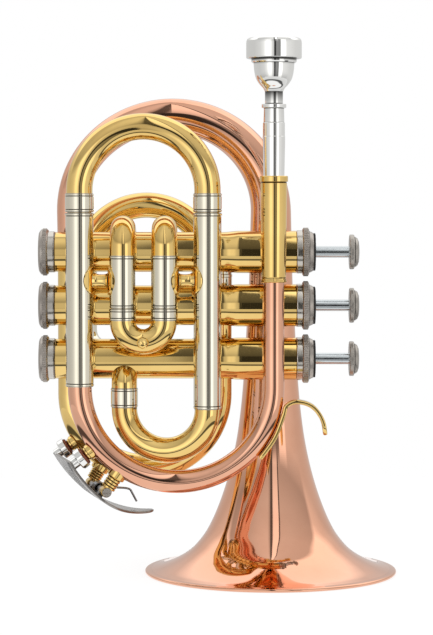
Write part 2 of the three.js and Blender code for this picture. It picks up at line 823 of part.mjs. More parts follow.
function buildButton(valve, group) {
  const seat = pistonNeckTopX + seatGap;
  const rim = feltTopX + stroke + seatGap;
  const dome = rim + buttonRimLength;
  const button = turnedAlongX([
    [seat - stemSpigotLength, 0], [seat - stemSpigotLength, stemSpigotRadius], [seat, stemSpigotRadius],
    [seat, stemRadius], [rim, stemRadius], [rim, buttonRimRadius], [dome, buttonRimRadius],
    ...domeShares.map(([height, radius]) => [dome + buttonDomeHeight * height, buttonDomeRadius * radius]),
  ]);
  add(`finger_button_${valve + 1}`, button, springSteel(), group);
}

function buildValveSpring(valve, group) {
  const name = `valve_spring_${valve + 1}`;
  const from = capFloorX + seatGap + springWireRadius;
  const to = pistonFootX + pistonRecess - seatGap - springWireRadius;
  const pitch = (to - from) / springCurls;
  const spring = helix(name, springCurls, springRadius, springWireRadius, pitch);
  spring.rotateZ(-Math.PI / 2);
  add(name, spring, springSteel(), group).position.x = from;
}

function buildValves() {
  valveZ.forEach((z, valve) => {
    const group = new THREE.Group();
    group.position.set(0, valvePlaneY, z);
    object.add(group);
    buildCasing(valve, group);
    buildBottomCap(valve, group);
    buildTopCap(valve, group);
    buildFelt(valve, group);
    buildPiston(valve, group);
    buildButton(valve, group);
    buildValveSpring(valve, group);
  });
}

function buildKnuckle(name, lower, upper, material) {
  const from = valveZ[lower];
  const to = valveZ[upper];
  const rings = [[0, knuckleRadius], [to - from, knuckleRadius]];
  const sleeve = straightTube(knuckleX, valvePlaneY, from, to, rings, portRadius);
  const fitted = sleeve.subtract(casingEnvelope(valvePlaneY, from)).subtract(casingEnvelope(valvePlaneY, to));
  add(name, fitted, material);
}

// Leadpipe, receiver and mouthpiece
function leadpipeRoute() {
  const right = vector(leadpipeX, frontY, leadpipeBowHeight);
  const left = vector(mainLeftX, frontY, leadpipeBowHeight);
  return routeFrom(vector(leadpipeX, frontY, leadpipeTop), [
    { to: right },
    { at: bow(right, left, -leadpipeBowDrop), steps: bowSteps + 2 },
    { to: left.clone().setZ(mainLeftFoot + spigotLength) },
  ]);
}

function leadpipeRings(route, gap) {
  const straight = leadpipeTop - leadpipeBowHeight;
  return [
    [0, leadpipeRadius + gap], [straight / 2, leadpipeRadius + gap],
    [route.length - spigotLength, leadpipeEndRadius + gap], [route.length, leadpipeEndRadius + gap],
  ];
}

function buildLeadpipe() {
  const route = leadpipeRoute();
  const pipe = tube(route, leadpipeRings(route, 0), leadpipeBore).subtract(nippleHole(keyFrontNipple()));
  add('leadpipe', pipe, roseCopper());
}

function buildReceiver() {
  const bead = receiverBottom + receiverBeadLength;
  const ring = receiverTop - receiverRingLength;
  const socketFoot = receiverTop - shankDepth - seatGap;
  const narrow = shankRadius - shankTaper + seatGap;
  const pipeTop = leadpipeTop + seatGap;
  const pipeRadius = leadpipeRadius + seatGap;
  const receiver = turnedAlongZ([
    [receiverBottom, pipeRadius], [receiverBottom, receiverBottomRadius],
    [(receiverBottom + bead) / 2, receiverBeadRadius], [bead, receiverBottomRadius],
    [ring, receiverTopRadius], [ring, receiverRingRadius], [receiverTop, receiverRingRadius],
    [receiverTop, shankRadius + seatGap], [socketFoot, narrow], [pipeTop, narrow], [pipeTop, pipeRadius],
    [receiverBottom, pipeRadius],
  ]);
  add('mouthpiece_receiver', receiver, lacqueredBrass()).position.set(leadpipeX, frontY, 0);
}

function buildMouthpiece() {
  const rimFoot = mouthpieceTop - rimLength;
  const lipFoot = rimFoot - cupLipLength;
  const shankFoot = receiverTop - shankDepth;
  const rimWidth = rimRadius - cupMouthRadius;
  const rimEdge = mouthpieceTop - rimWidth / 4;
  const cupFoot = mouthpieceTop - cupLength;
  const neckFoot = cupFoot - neckLength;
  const throatHeight = mouthpieceTop - throatDrop;
  const shankRings = shankRingDrops.map((drop) => mouthpieceTop - drop);
  const outsideHeight = lipFoot - cupFoot;
  const insideHeight = rimEdge - throatHeight;
  const outside = [
    [mouthpieceTop, rimRadius - rimWidth / 2], [rimEdge, rimRadius], [rimFoot, rimRadius],
    [rimFoot, cupLipRadius], [lipFoot, cupLipRadius], [lipFoot, cupBodyRadius],
    ...cupOutsideShares.map(([drop, width]) => [lipFoot - outsideHeight * drop, cupBodyRadius * width]),
    [cupFoot, neckRadius], [neckFoot, neckRadius], [neckFoot, collarRadius],
    [neckFoot - collarLength, collarRadius], [neckFoot - collarLength, shankRadius],
    ...shankRings.flatMap((top) => [
      [top, shankRadius], [top, shankRingRadius], [top - shankRingLength, shankRingRadius],
      [top - shankRingLength, shankRadius],
    ]),
    [receiverTop, shankRadius], [shankFoot, shankRadius - shankTaper],
  ];
  const inside = [
    [rimEdge, cupMouthRadius],
    ...cupInsideShares.map(([drop, width]) => [rimEdge - insideHeight * drop, cupMouthRadius * width]),
    [throatHeight, throatRadius], [shankFoot, backboreRadius],
  ];
  const profile = [...outside.slice().reverse(), ...inside, outside[outside.length - 1]];
  add('mouthpiece', turnedAlongZ(profile, tubeSides), silverPlate()).position.set(leadpipeX, frontY, 0);
}

// A flat strip whose foot is soldered along the leadpipe's bow
function buildHook() {
  const stand = leadpipeRadius + 2 * seatGap + hookThickness / 2;
  const [from, to] = hookFootDegrees;
  const foot = [from, (from + to) / 2, to].map((angle) => [
    leadpipeBowX + (leadpipeBowHalf + stand) * Math.cos(degrees(angle)),
    leadpipeBowHeight - (leadpipeBowDrop + stand) * Math.sin(degrees(angle)),
  ]);
  const middle = [...foot, ...hookPath.map(([out, up]) => [leadpipeX + out, leadpipeBowHeight + up])];
  const sections = middle.map(([x, z], i) => {
    const [backX, backZ] = middle[Math.max(0, i - 1)];
    const [aheadX, aheadZ] = middle[Math.min(middle.length - 1, i + 1)];
    const out = vector(aheadZ - backZ, 0, backX - aheadX).setLength(hookThickness / 2);
    const across = vector(0, hookWidth / 2, 0);
    const centre = vector(x, frontY, z);
    return [
      centre.clone().sub(out).sub(across), centre.clone().add(out).sub(across),
      centre.clone().add(out).add(across), centre.clone().sub(out).add(across),
    ];
  });
  add('pinky_hook', loft(sections), lacqueredBrass());
}

// An outer slide tube along Z, with a bead round the end that its leg goes into
function outerTube(x, y, closedEnd, openEnd, radius, bore) {
  const length = Math.abs(openEnd - closedEnd);
  const bead = radius + tubeRingRadius - mainTubeRadius;
  const beadFoot = length - tubeRingLength;
  const rings = [[0, radius], [beadFoot, radius], [beadFoot, bead], [length, bead]];
  return straightTube(x, y, closedEnd, openEnd, rings, bore);
}

// A slide crook with its two inner legs. Its legs start at legEnd, its ferrules reach from ferruleStart
// to ferruleEnd, and its half turn starts at height and bulges by rise.
function slideCrook(left, right, sizes) {
  const { legEnd, ferruleStart, ferruleEnd, height, rise, leg, ferrule, radius, bore, steps } = sizes;
  const leftTop = left.clone().setZ(height);
  const rightTop = right.clone().setZ(height);
  const route = routeFrom(left.clone().setZ(legEnd), [
    { to: leftTop }, { at: bow(leftTop, rightTop, rise), steps }, { to: right.clone().setZ(legEnd) },
  ]);
  const near = Math.abs(ferruleStart - legEnd);
  const far = Math.abs(ferruleEnd - legEnd);
  const half = [[0, leg], [near, leg], [near, ferrule], [far, ferrule], [far, radius]];
  const mirrored = half.slice().reverse().map(([along, size]) => [route.length - along, size]);
  return tube(route, [...half, ...mirrored], bore);
}

function buildMainSlide() {
  const left = vector(mainLeftX, frontY, 0);
  const right = vector(mainRightX, frontY, 0);
  const leftTube = outerTube(mainLeftX, frontY, mainLeftFoot, mainTubeTop, mainTubeRadius, mainTubeBore);
  const rightTube = outerTube(mainRightX, frontY, feedFerruleFoot, mainTubeTop, mainTubeRadius, mainTubeBore);
  add('tuning_slide_tube_left', leftTube, nickelSilver());
  add('tuning_slide_tube_right', rightTube, nickelSilver());
  const crook = slideCrook(left, right, {
    legEnd: mainTubeTop - mainLegDepth,
    ferruleStart: mainTubeTop + seatGap,
    ferruleEnd: mainCrookHeight - tubeRingLength,
    height: mainCrookHeight,
    rise: mainHalfPitch,
    leg: legRadius,
    ferrule: mainFerruleRadius,
    radius: crookRadius,
    bore: legBore,
    steps: bowSteps,
  });
  add('tuning_slide_crook', crook, lacqueredBrass());
}

// A tube's rings, with a narrower spigot on one or both ends
function spigotRings(length, radius, bothEnds) {
  const start = [[0, legRadius], [spigotLength, legRadius], [spigotLength, radius]];
  const end = [[length - spigotLength, radius], [length - spigotLength, legRadius], [length, legRadius]];
  return bothEnds ? [...start, ...end] : [...start, [length, radius]];
}

function buildFeed() {
  const right = vector(mainRightX, frontY, feedFerruleFoot - seatGap);
  const left = vector(feedLeftX, feedY, right.z);
  const bowRoute = routeFrom(right.clone().setZ(right.z + spigotLength), [
    { to: right },
    { at: bow(right, left, -(mainRightX - feedLeftX) / 2), steps: bowSteps },
    { to: left.clone().setZ(left.z + spigotLength) },
  ]);
  const bowRings = spigotRings(bowRoute.length, feedBowRadius, true);
  add('feed_bow', tube(bowRoute, bowRings, legBore), lacqueredBrass());

  const ferruleRings = [[0, feedFerruleRadius], [feedFerruleLength, feedFerruleRadius]];
  const ferruleBore = legRadius + seatGap;
  const ferrule = straightTube(
    feedLeftX, feedY, feedFerruleFoot, feedFerruleTop, ferruleRings, ferruleBore,
  );
  add('feed_ferrule', ferrule, nickelSilver());

  const start = vector(feedLeftX, feedY, feedFerruleTop + seatGap);
  const sweep = degrees(feedElbowDegrees);
  const bend = (t) => vector(
    start.x,
    start.y + feedElbowBend * (1 - Math.cos(sweep * t)),
    start.z + feedElbowBend * Math.sin(sweep * t),
  );
  const reach = vector(0, Math.sin(sweep), Math.cos(sweep)).multiplyScalar(feedElbowReach);
  const route = routeFrom(start.clone().setZ(start.z - spigotLength), [
    { to: start }, { at: bend, steps: elbowSteps / 2 }, { to: bend(1).add(reach) },
  ]);
  const elbow = tube(route, spigotRings(route.length, feedBowRadius, false), legBore);
  add('feed_elbow', elbow.subtract(casingEnvelope(valvePlaneY, valveZ[2])), lacqueredBrass());
}

// Tail of the bell: a loop behind the valves, and the elbow that takes it into the first one
function tailRoute() {
  const left = vector(tailLeftX, tailY, tailBowHeight);
  const right = vector(tailRightX, tailY, tailBowHeight);
  return routeFrom(vector(tailLeftX, tailY, bellBowStart + tailSocketLength / 2), [
    { to: left },
    { at: bow(left, right, -tailBowRadius), steps: bowSteps + 2 },
    { to: right.clone().setZ(tailFerruleFoot + spigotLength - seatGap) },
  ]);
}

function buildTail() {
  const route = tailRoute();
  const end = route.length;
  const rings = [
    [0, tailSocketRadius], [tailSocketLength, tailSocketRadius], [tailSocketLength, tailRadius],
    [end - spigotLength, tailRadius], [end - spigotLength, legRadius], [end, legRadius],
  ];
  const shelf = vector(tailLeftX, tailY, bellBowStart - seatGap);
  const mouth = vector(tailLeftX, tailY, bellBowStart + tailSocketLength);
  const socket = toSolid(bar(shelf, mouth, bellBowStartRadius + 2 * seatGap, bellSides));
  const tail = tube(route, rings, legBore).subtract(socket).subtract(nippleHole(keyRearNipple()));
  add('bell_tail', tail, lacqueredBrass());
}

function buildTailElbow() {
  const height = valveZ[0];
  const bend = (t) => vector(
    tailRightX,
    tailY - tailElbowBend * (1 - Math.cos((t * Math.PI) / 2)),
    height - tailElbowBend * (1 - Math.sin((t * Math.PI) / 2)),
  );
  const route = routeFrom(vector(tailRightX, tailY, tailFerruleFoot), [
    { to: bend(0) }, { at: bend, steps: elbowSteps }, { to: vector(tailRightX, valvePlaneY, height) },
  ]);
  const ferruleRadius = tailRadius + seatGap;
  const rings = [
    [0, ferruleRadius], [tailFerruleLength, ferruleRadius], [tailFerruleLength, tailRadius],
    [route.length, tailRadius],
  ];
  const mouth = vector(tailRightX, tailY, tailFerruleFoot - cutOverrun);
  const shelf = vector(tailRightX, tailY, tailFerruleFoot + spigotLength);
  const socket = toSolid(bar(mouth, shelf, legRadius + seatGap, tubeSides));
  const elbow = tube(route, rings, legBore).subtract(socket).subtract(casingEnvelope(valvePlaneY, height));
  add('tail_elbow', elbow, nickelSilver());
}

// First valve slide, in front of the valves
function buildGooseneck(name, x) {
  const sweep = degrees(gooseneckDegrees);
  const bend = (t) => vector(
    x,
    firstY + gooseneckBend * (1 - Math.cos(sweep * t)),
    gooseneckHeight + gooseneckBend * Math.sin(sweep * t),
  );
  const route = routeFrom(vector(x, firstY, firstTubeTop + seatGap), [
    { to: bend(0) }, { at: bend, steps: elbowSteps + 1 },
  ]);
  const neck = tube(route, evenRings(route, firstCrookRadius), firstLegBore);
  add(name, neck.subtract(casingEnvelope(valvePlaneY, valveZ[0])), lacqueredBrass());
}

function buildFirstSlide() {
  const left = vector(slideCentreX - firstHalfPitch, firstY, 0);
  const right = vector(slideCentreX + firstHalfPitch, firstY, 0);
  for (const [side, { x }] of Object.entries({ left, right })) {
    const outer = outerTube(x, firstY, firstTubeTop, firstTubeFoot, firstTubeRadius, firstTubeBore);
    add(`first_slide_tube_${side}`, outer, nickelSilver());
    buildGooseneck(`first_gooseneck_${side}`, x);
  }
  const ferruleTop = firstTubeFoot - seatGap;
  const crook = slideCrook(left, right, {
    legEnd: firstTubeFoot + firstLegDepth,
    ferruleStart: ferruleTop,
    ferruleEnd: firstCrookHeight + seatGap,
    height: firstCrookHeight,
    rise: -firstHalfPitch,
    leg: firstLegRadius,
    ferrule: firstBeadRadius,
    radius: firstCrookRadius,
    bore: firstLegBore,
    steps: bowSteps,
  });
  add('first_slide_crook', crook, lacqueredBrass());
}

// A ball on a short foot, on the front of the first slide's crook
function buildFirstKnob() {
  const centre = knobFootLength + knobRadius;
  const ball = knobShares.map((share) => [
    centre + knobRadius * share, knobRadius * Math.sqrt(1 - share * share),
  ]);
  const knob = turned([
    [0, 0], [0, 2 * knobFootRadius], [knobFootLength / 2, knobFootRadius], ...ball, [centre + knobRadius, 0],
  ], tubeSides);
  knob.rotateX(Math.PI);
  add('first_slide_knob', knob, lacqueredBrass())
    .position.set(slideCentreX, firstY - firstCrookRadius - seatGap, firstCrookHeight - firstHalfPitch);
}

// Second valve slide, built upright about its valve's axis and laid over to point backwards
function buildSecondSlide() {
  const group = new THREE.Group();
  group.position.set(0, valvePlaneY, valveZ[1]);
  group.rotation.x = -Math.PI / 2;
  object.add(group);
  const left = vector(slideCentreX - secondHalfPitch, 0, 0);
  const right = vector(slideCentreX + secondHalfPitch, 0, 0);
  const tubeEnd = casingRadius + secondTubeLength;
  const ferruleEnd = tubeEnd + seatGap + secondFerruleLength;
  for (const [side, { x }] of Object.entries({ left, right })) {
    const outer = outerTube(x, 0, 0, tubeEnd, firstTubeRadius, firstTubeBore);
    add(`second_slide_tube_${side}`, outer.subtract(casingEnvelope(0, 0)), nickelSilver(), group);
  }
  const crook = slideCrook(left, right, {
    legEnd: casingRadius + secondLegGap,
    ferruleStart: tubeEnd + seatGap,
    ferruleEnd,
    height: ferruleEnd + seatGap,
    rise: secondHalfPitch,
    leg: firstLegRadius,
    ferrule: firstBeadRadius,
    radius: firstCrookRadius,
    bore: firstLegBore,
    steps: bowSteps,
  });
  add('second_slide_crook', crook, lacqueredBrass(), group);
}

// Third valve slide. Its ports pass between the tail's legs, and its tubes stand behind them.
function buildThirdSlide() {
  const height = valveZ[2];
  const left = vector(slideCentreX - thirdHalfPitch, thirdY, 0);
  const right = vector(slideCentreX + thirdHalfPitch, thirdY, 0);
  const elbowTop = height + thirdElbowRise;
  for (const [side, leg, portX] of [
    ['left', left, slideCentreX - thirdPortHalfPitch], ['right', right, slideCentreX + thirdPortHalfPitch],
  ]) {
    const wall = vector(portX, valvePlaneY + casingRadius + seatGap, height);
    const elbow = new THREE.CubicBezierCurve3(
      wall,
      wall.clone().setY(wall.y + thirdElbowReach),
      leg.clone().setZ(elbowTop - thirdElbowLead),
      leg.clone().setZ(elbowTop),
    );
    const route = routeFrom(vector(portX, valvePlaneY, height), [
      { to: wall },
      { at: (t) => elbow.getPoint(t), steps: elbowSteps + 2 },
      { to: leg.clone().setZ(thirdTubeTop) },
    ]);
    const outer = tube(route, [
      [0, mainTubeRadius], [route.length - tubeRingLength, mainTubeRadius],
      [route.length - tubeRingLength, tubeRingRadius], [route.length, tubeRingRadius],
    ], mainTubeBore, tubeSides);
    add(`third_slide_tube_${side}`, outer.subtract(casingEnvelope(valvePlaneY, height)), nickelSilver());
  }
  const ferruleStart = thirdTubeTop + seatGap;
  const crook = slideCrook(left, right, {
    legEnd: elbowTop + thirdLegGap,
    ferruleStart,
    ferruleEnd: ferruleStart + thirdFerruleLength,
    height: thirdTubeTop + thirdCrookLeg,
    rise: thirdHalfPitch,
    leg: legRadius,
    ferrule: mainFerruleRadius,
    radius: crookRadius,
    bore: legBore,
    steps: bowSteps,
  });
  add('third_slide_crook', crook, lacqueredBrass());
}

// A brace between two upright tubes: a rod with a flange at each end, bent round its tube
function buildBrace(name, height, ends, flangeRadius) {
  const [from, to] = ends.map(({ x, y }) => vector(x, y, height));
  let brace = toSolid(bar(from, to, braceRodRadius, boreSides + 2));
  for (const { x, y, radius } of ends) {
    const sleeve = radius + seatGap + braceFlangeThickness;
    const reach = flangeRadius + cutOverrun;
    const collar = bar(vector(x, y, height - reach), vector(x, y, height + reach), sleeve);
    brace = brace.add(toSolid(bar(from, to, flangeRadius)).intersect(toSolid(collar)));
  }
  for (const { x, y, radius } of ends) {
    const inside = bar(
      vector(x, y, height - 2 * flangeRadius), vector(x, y, height + 2 * flangeRadius), radius + seatGap,
    );
    brace = brace.subtract(toSolid(inside));
  }
  add(name, brace, lacqueredBrass());
}

function buildBraces() {
  const mainTube = (x) => ({ x, y: frontY, radius: mainTubeRadius });
  const firstTube = (x) => ({ x, y: firstY, radius: firstTubeRadius });
  const leftEnds = [mainTube(mainLeftX), firstTube(slideCentreX - firstHalfPitch)];
  const rightEnds = [mainTube(mainRightX), firstTube(slideCentreX + firstHalfPitch)];
  const braceHeight = firstTubeTop - braceDrop;
  const bellBraceHeight = valveZ[0] + casingUpperRadius + bellBraceGap + braceRodRadius;
  buildBrace('brace_left', braceHeight, leftEnds, braceFlangeRadius);
  buildBrace('brace_right', braceHeight, rightEnds, braceFlangeRadius);
  const bellEnds = [
    { x: leadpipeX, y: frontY, radius: receiverTopRadius }, { x: bellAxisX, y: 0, radius: bellStemRadius },
  ];
  buildBrace('bell_brace', bellBraceHeight, bellEnds, braceRodRadius + braceFlangeThickness);
}

// Water key. A place on it is counted across from the hinge, along it and up from it.
const keyAlong = vector(-Math.sin(degrees(keySkewDegrees)), Math.cos(degrees(keySkewDegrees)), 0);
const keyAcross = vector(Math.cos(degrees(keySkewDegrees)), Math.sin(degrees(keySkewDegrees)), 0);
const keyPivotX = mainLeftX + keyPivotInset;
const keyPivotY = frontY - keyAlong.y * (pivotHeadLength + seatGap + postHalf);

function keyPlace(across, along, up) {
  return vector(keyPivotX, keyPivotY, keyPivotZ + up)
    .addScaledVector(keyAcross, across).addScaledVector(keyAlong, along);
}

// Distance along the hinge to the plane at a depth, from a place across from the hinge
function hingeAt(y, across = 0) {
  return (y - keyPivotY - across * keyAcross.y) / keyAlong.y;
}

// The centre of the lever plate's arc, across from the hinge
function leverCentre() {
  return leverCentreAcross * keyAcross.x + (frontY - keyPivotY) * keyAcross.y;
}

// Where each nipple leaves its bow: a point on the bow's middle, the way out, and the bow's radius
function nippleAt(centreX, centreZ, halfWidth, drop, y, angle, radius) {
  const way = vector(-Math.cos(degrees(angle)), 0, -Math.sin(degrees(angle)));
  const point = vector(centreX + halfWidth * way.x, y, centreZ + drop * way.z);
  return { point, way, radius };
}

function keyFrontNipple() {
  return nippleAt(
    leadpipeBowX, leadpipeBowHeight, leadpipeBowHalf, leadpipeBowDrop, frontY, nippleFrontDegrees,
    leadpipeEndRadius,
  );
}

function keyRearNipple() {
  return nippleAt(
    tailBowX, tailBowHeight, tailBowRadius, tailBowRadius, tailY, nippleRearDegrees, tailRadius,
  );
}

function nippleHole({ point, way, radius }) {
  const end = point.clone().addScaledVector(way, radius + cutOverrun);
  return toSolid(bar(point, end, nippleHoleRadius, boreSides));
}

// Outside of each lower bow with a gap round it, for cutting what sits on it
function leadpipeEnvelope() {
  const route = leadpipeRoute();
  return rod(route, leadpipeRings(route, seatGap));
}

function tailEnvelope() {
  const route = tailRoute();
  return rod(route, evenRings(route, tailRadius + seatGap));
}

// Turns a profile of [distance, radius] pairs about a line from a point
function turnedAt(point, way, profile, sides) {
  const turn = new THREE.Quaternion().setFromUnitVectors(vector(0, 1, 0), way);
  return turned(profile, sides).applyQuaternion(turn).translate(point.x, point.y, point.z);
}

function buildNipple(name, { point, way, radius }, envelope) {
  const top = radius + seatGap + nippleHeight;
  const nipple = turnedAt(point, way, [
    [0, nippleHoleRadius], [0, nippleRadius], [top - nippleHeight / 2, nippleRadius],
    [top, (nippleRadius + nippleHoleRadius) / 2], [top, nippleHoleRadius], [0, nippleHoleRadius],
  ], tubeSides);
  add(name, toSolid(nipple).subtract(envelope), nickelSilver());
}

// Where the cork starts and ends, and where the cup's floor and top are, out from the bow's middle
function corkStations(radius) {
  const start = radius + nippleHeight + 2 * seatGap;
  const end = start + corkThickness;
  const floor = end + seatGap;
  return { start, end, floor, rim: floor - cupDepth, top: floor + cupFloor };
}

function buildCork(name, { point, way, radius }) {
  const { start, end } = corkStations(radius);
  const outline = [[start, 0], [start, corkRadius], [end, corkRadius], [end, 0]];
  add(name, turnedAt(point, way, outline, tubeSides), cork());
}

// Where a line out from a bow meets the lever plate: the distance along it, and the plate's angle there
function plateMeets({ point, way }) {
  const across = point.clone().sub(keyPlace(0, 0, 0)).dot(keyAcross) - leverCentre();
  const up = point.z - keyPivotZ - leverCentreAbove;
  const wayAcross = way.dot(keyAcross);
  const b = across * wayAcross + up * way.z;
  const a = wayAcross * wayAcross + way.z * way.z;
  const c = across * across + up * up - leverRadius * leverRadius;
  const distance = (-b + Math.sqrt(b * b - a * c)) / a;
  const angle = Math.atan2(-up - distance * way.z, -across - distance * wayAcross);
  return { distance, angle: THREE.MathUtils.radToDeg(angle) };
}

// A cup with its stem, which reaches to the middle of the lever plate
function leverCup(nipple) {
  const { point, way, radius } = nipple;
  const { floor, rim, top } = corkStations(radius);
  const inside = corkRadius + seatGap;
  const end = plateMeets(nipple).distance;
  return toSolid(turnedAt(point, way, [
    [floor, 0], [floor, inside], [rim, inside], [rim, cupRadius], [top, cupRadius], [top, cupStemRadius],
    [end, cupStemRadius], [end, 0],
  ], tubeSides));
}

// The lever plate at an angle: its radius, and the depths of its front and back edges
function leverEdges(angle) {
  const lift = THREE.MathUtils.clamp((angle - leverLiftDegrees) / (leverEndDegrees - leverLiftDegrees), 0, 1);
  const taper = THREE.MathUtils.smoothstep(angle, leverTaperDegrees, leverEndDegrees);
  const middle = (frontY + tailY) / 2;
  const half = THREE.MathUtils.lerp((tailY - frontY) / 2 + leverOverhang, leverTipHalfWidth, taper);
  return { radius: leverRadius - leverTipLift * lift * lift, front: middle - half, back: middle + half };
}

function leverPlate() {
  const start = plateMeets(keyRearNipple()).angle - leverHeelDegrees;
  const sections = [];
  for (let step = 0; step <= leverSteps; step += 1) {
    const angle = THREE.MathUtils.lerp(start, leverEndDegrees, step / leverSteps);
    const { radius, front, back } = leverEdges(angle);
    const place = (size, y) => {
      const across = leverCentre() - size * Math.cos(degrees(angle));
      return keyPlace(across, hingeAt(y, across), leverCentreAbove - size * Math.sin(degrees(angle)));
    };
    const inner = radius - leverThickness / 2;
    const outer = radius + leverThickness / 2;
    sections.push([place(inner, front), place(outer, front), place(outer, back), place(inner, back)]);
  }
  return toSolid(loft(sections));
}

function buildLever() {
  const from = hingeAt(frontY) + postHalf + seatGap;
  const to = hingeAt(tailY) - postHalf - seatGap;
  const barrel = bar(keyPlace(0, from, 0), keyPlace(0, to, 0), barrelRadius, tubeSides);
  let lever = leverPlate().add(toSolid(barrel));
  lever = lever.add(leverCup(keyFrontNipple())).add(leverCup(keyRearNipple()));
  const away = vector(leverCentre(), 0, leverCentreAbove).setLength(leverRadius);
  const [webX, webZ] = [leverCentre() - away.x, leverCentreAbove - away.z];
  for (const start of [from, to - 2 * postHalf]) {
    const end = start + 2 * postHalf;
    const sections = [[0, 0], [webX, webZ]].map(([across, up]) => {
      const shift = vector(away.z, 0, -away.x).setLength(barrelWebWidth / 2);
      return [
        keyPlace(across - shift.x, start, up - shift.z), keyPlace(across - shift.x, end, up - shift.z),
        keyPlace(across + shift.x, end, up + shift.z), keyPlace(across + shift.x, start, up + shift.z),
      ];
    });
    lever = lever.add(toSolid(loft(sections)));
  }
  const hole = bar(
    keyPlace(0, from - cutOverrun, 0), keyPlace(0, to + cutOverrun, 0), pivotRadius + slideGap, tubeSides,
  );
  add('water_key_lever', lever.subtract(toSolid(hole)), nickelSilver());
}

function buildPost(name, centreX, centreZ, y, drop, radius, envelope) {
  const pivot = keyPlace(0, hingeAt(y), 0);
  const centre = vector(centreX, y, centreZ);
  const way = pivot.clone().sub(centre).normalize();
  const middle = centre.clone().addScaledVector(way, drop);
  const end = middle.distanceTo(pivot);
  const footTop = radius + seatGap + postFootHeight;
  const rib = (footTop + end - postRibLength) / 2;
  const stalk = turnedAt(middle, way, [
    [0, 0], [0, postFootRadius], [footTop, postFootRadius], [footTop, postRadius], [rib, postRadius],
    [rib, postRibRadius], [rib + postRibLength, postRibRadius], [rib + postRibLength, postRadius],
    [end, postRadius], [end, 0],
  ], tubeSides);
  const front = pivot.clone().addScaledVector(keyAlong, -postHalf);
  const back = pivot.clone().addScaledVector(keyAlong, postHalf);
  const eye = toSolid(bar(front, back, postEyeRadius, tubeSides));
  const hole = toSolid(bar(
    front.clone().addScaledVector(keyAlong, -cutOverrun), back.clone().addScaledVector(keyAlong, cutOverrun),
    pivotRadius + slideGap, tubeSides,
  ));
  add(name, toSolid(stalk).subtract(envelope).add(eye).subtract(hole), lacqueredBrass());
}

function buildPivotScrew() {
  const pivotLength = hingeAt(tailY) + postHalf - pivotInset;
  const screw = turnedAt(keyPlace(0, 0, 0), keyAlong, [
    [0, 0], [0, pivotHeadRadius], [pivotHeadLength, pivotHeadRadius], [pivotHeadLength, pivotRadius],
    [pivotLength, pivotRadius], [pivotLength, 0],
  ], tubeSides);
  const slot = new THREE.BoxGeometry(2 * pivotHeadRadius + cutOverrun, 2 * pivotSlotDepth, pivotSlotWidth);
  slot.rotateZ(degrees(keySkewDegrees)).translate(...keyPlace(0, 0, 0).toArray());
  add('pivot_screw', toSolid(screw).subtract(toSolid(slot)), springSteel());
}

function buildKeySpring() {
  const length = keySpringCurls * keySpringPitch;
  const [knee, end] = keySpringArm;
  const arm = [
    vector(knee[0], length + keySpringArmAlong / 2, knee[1]),
    vector(end[0], length + keySpringArmAlong, end[1]),
  ];
  const spring = helix(
    'water_key_spring', keySpringCurls, keySpringRadius, keySpringWireRadius, keySpringPitch, arm,
  );
  const mesh = add('water_key_spring', spring, springSteel());
  mesh.position.copy(keyPlace(0, keySpringStart, 0));
  mesh.rotation.z = degrees(keySkewDegrees);
}

function buildWaterKey() {
  const front = leadpipeEnvelope();
  const rear = tailEnvelope();
  buildNipple('nipple_front', keyFrontNipple(), front);
  buildNipple('nipple_rear', keyRearNipple(), rear);
  buildCork('cork_front', keyFrontNipple());
  buildCork('cork_rear', keyRearNipple());
  buildPost(
    'key_post_front', leadpipeBowX, leadpipeBowHeight, frontY, leadpipeBowDrop, leadpipeEndRadius, front,
  );
  buildPost('key_post_rear', tailBowX, tailBowHeight, tailY, tailBowRadius, tailRadius, rear);
  buildLever();
  buildPivotScrew();
  buildKeySpring();
}

buildBell();
buildTail();
buildTailElbow();
buildLeadpipe();
buildReceiver();
buildMouthpiece();
buildHook();
buildMainSlide();
buildFeed();
buildValves();
buildKnuckle('knuckle_1_2', 1, 0, nickelSilver());
buildKnuckle('knuckle_2_3', 2, 1, lacqueredBrass());
buildFirstSlide();
buildFirstKnob();
buildSecondSlide();
buildThirdSlide();
buildBraces();
buildWaterKey();

export default object;
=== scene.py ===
"""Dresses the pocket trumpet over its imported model: bell, tubes, slides, valves and water key.

Sizes are in millimetres until a mesh is made, and every mesh is in metres, in the frame of the model.
"""

import logging
import math
import random
from collections.abc import Callable, Sequence
from dataclasses import dataclass, field
from enum import Enum

import bmesh
import bpy
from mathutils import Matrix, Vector


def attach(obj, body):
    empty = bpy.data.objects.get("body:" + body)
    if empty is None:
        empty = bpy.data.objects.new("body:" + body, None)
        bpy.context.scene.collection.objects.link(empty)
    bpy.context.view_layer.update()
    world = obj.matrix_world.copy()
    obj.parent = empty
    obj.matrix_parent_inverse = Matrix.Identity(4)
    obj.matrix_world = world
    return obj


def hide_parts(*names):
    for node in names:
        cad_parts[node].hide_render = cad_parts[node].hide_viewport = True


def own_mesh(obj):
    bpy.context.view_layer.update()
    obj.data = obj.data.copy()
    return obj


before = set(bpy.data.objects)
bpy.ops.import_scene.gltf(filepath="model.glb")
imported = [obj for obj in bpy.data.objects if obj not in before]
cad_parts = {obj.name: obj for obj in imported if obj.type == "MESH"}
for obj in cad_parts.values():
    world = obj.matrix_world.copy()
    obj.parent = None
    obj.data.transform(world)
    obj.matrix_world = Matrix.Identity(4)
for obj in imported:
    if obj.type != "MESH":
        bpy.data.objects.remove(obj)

LOG = logging.getLogger("trumpet")
MM = 0.001
FULL_TURN = 2 * math.pi
BEND_STEPS = 56
TUBE_SIDES = 56
TURNED_SIDES = 72
SHARP_DEGREES = 36
STEP_LENGTH = 0.01  # least distance between two stations of a tube, where its radius jumps
HOLD = 0.12  # how near a corner the points lie that keep a long side straight
SEAM = 0.42  # width of the grooves beside the rings of sleeves, which get painted shade
SEAM_DEPTH = 0.25
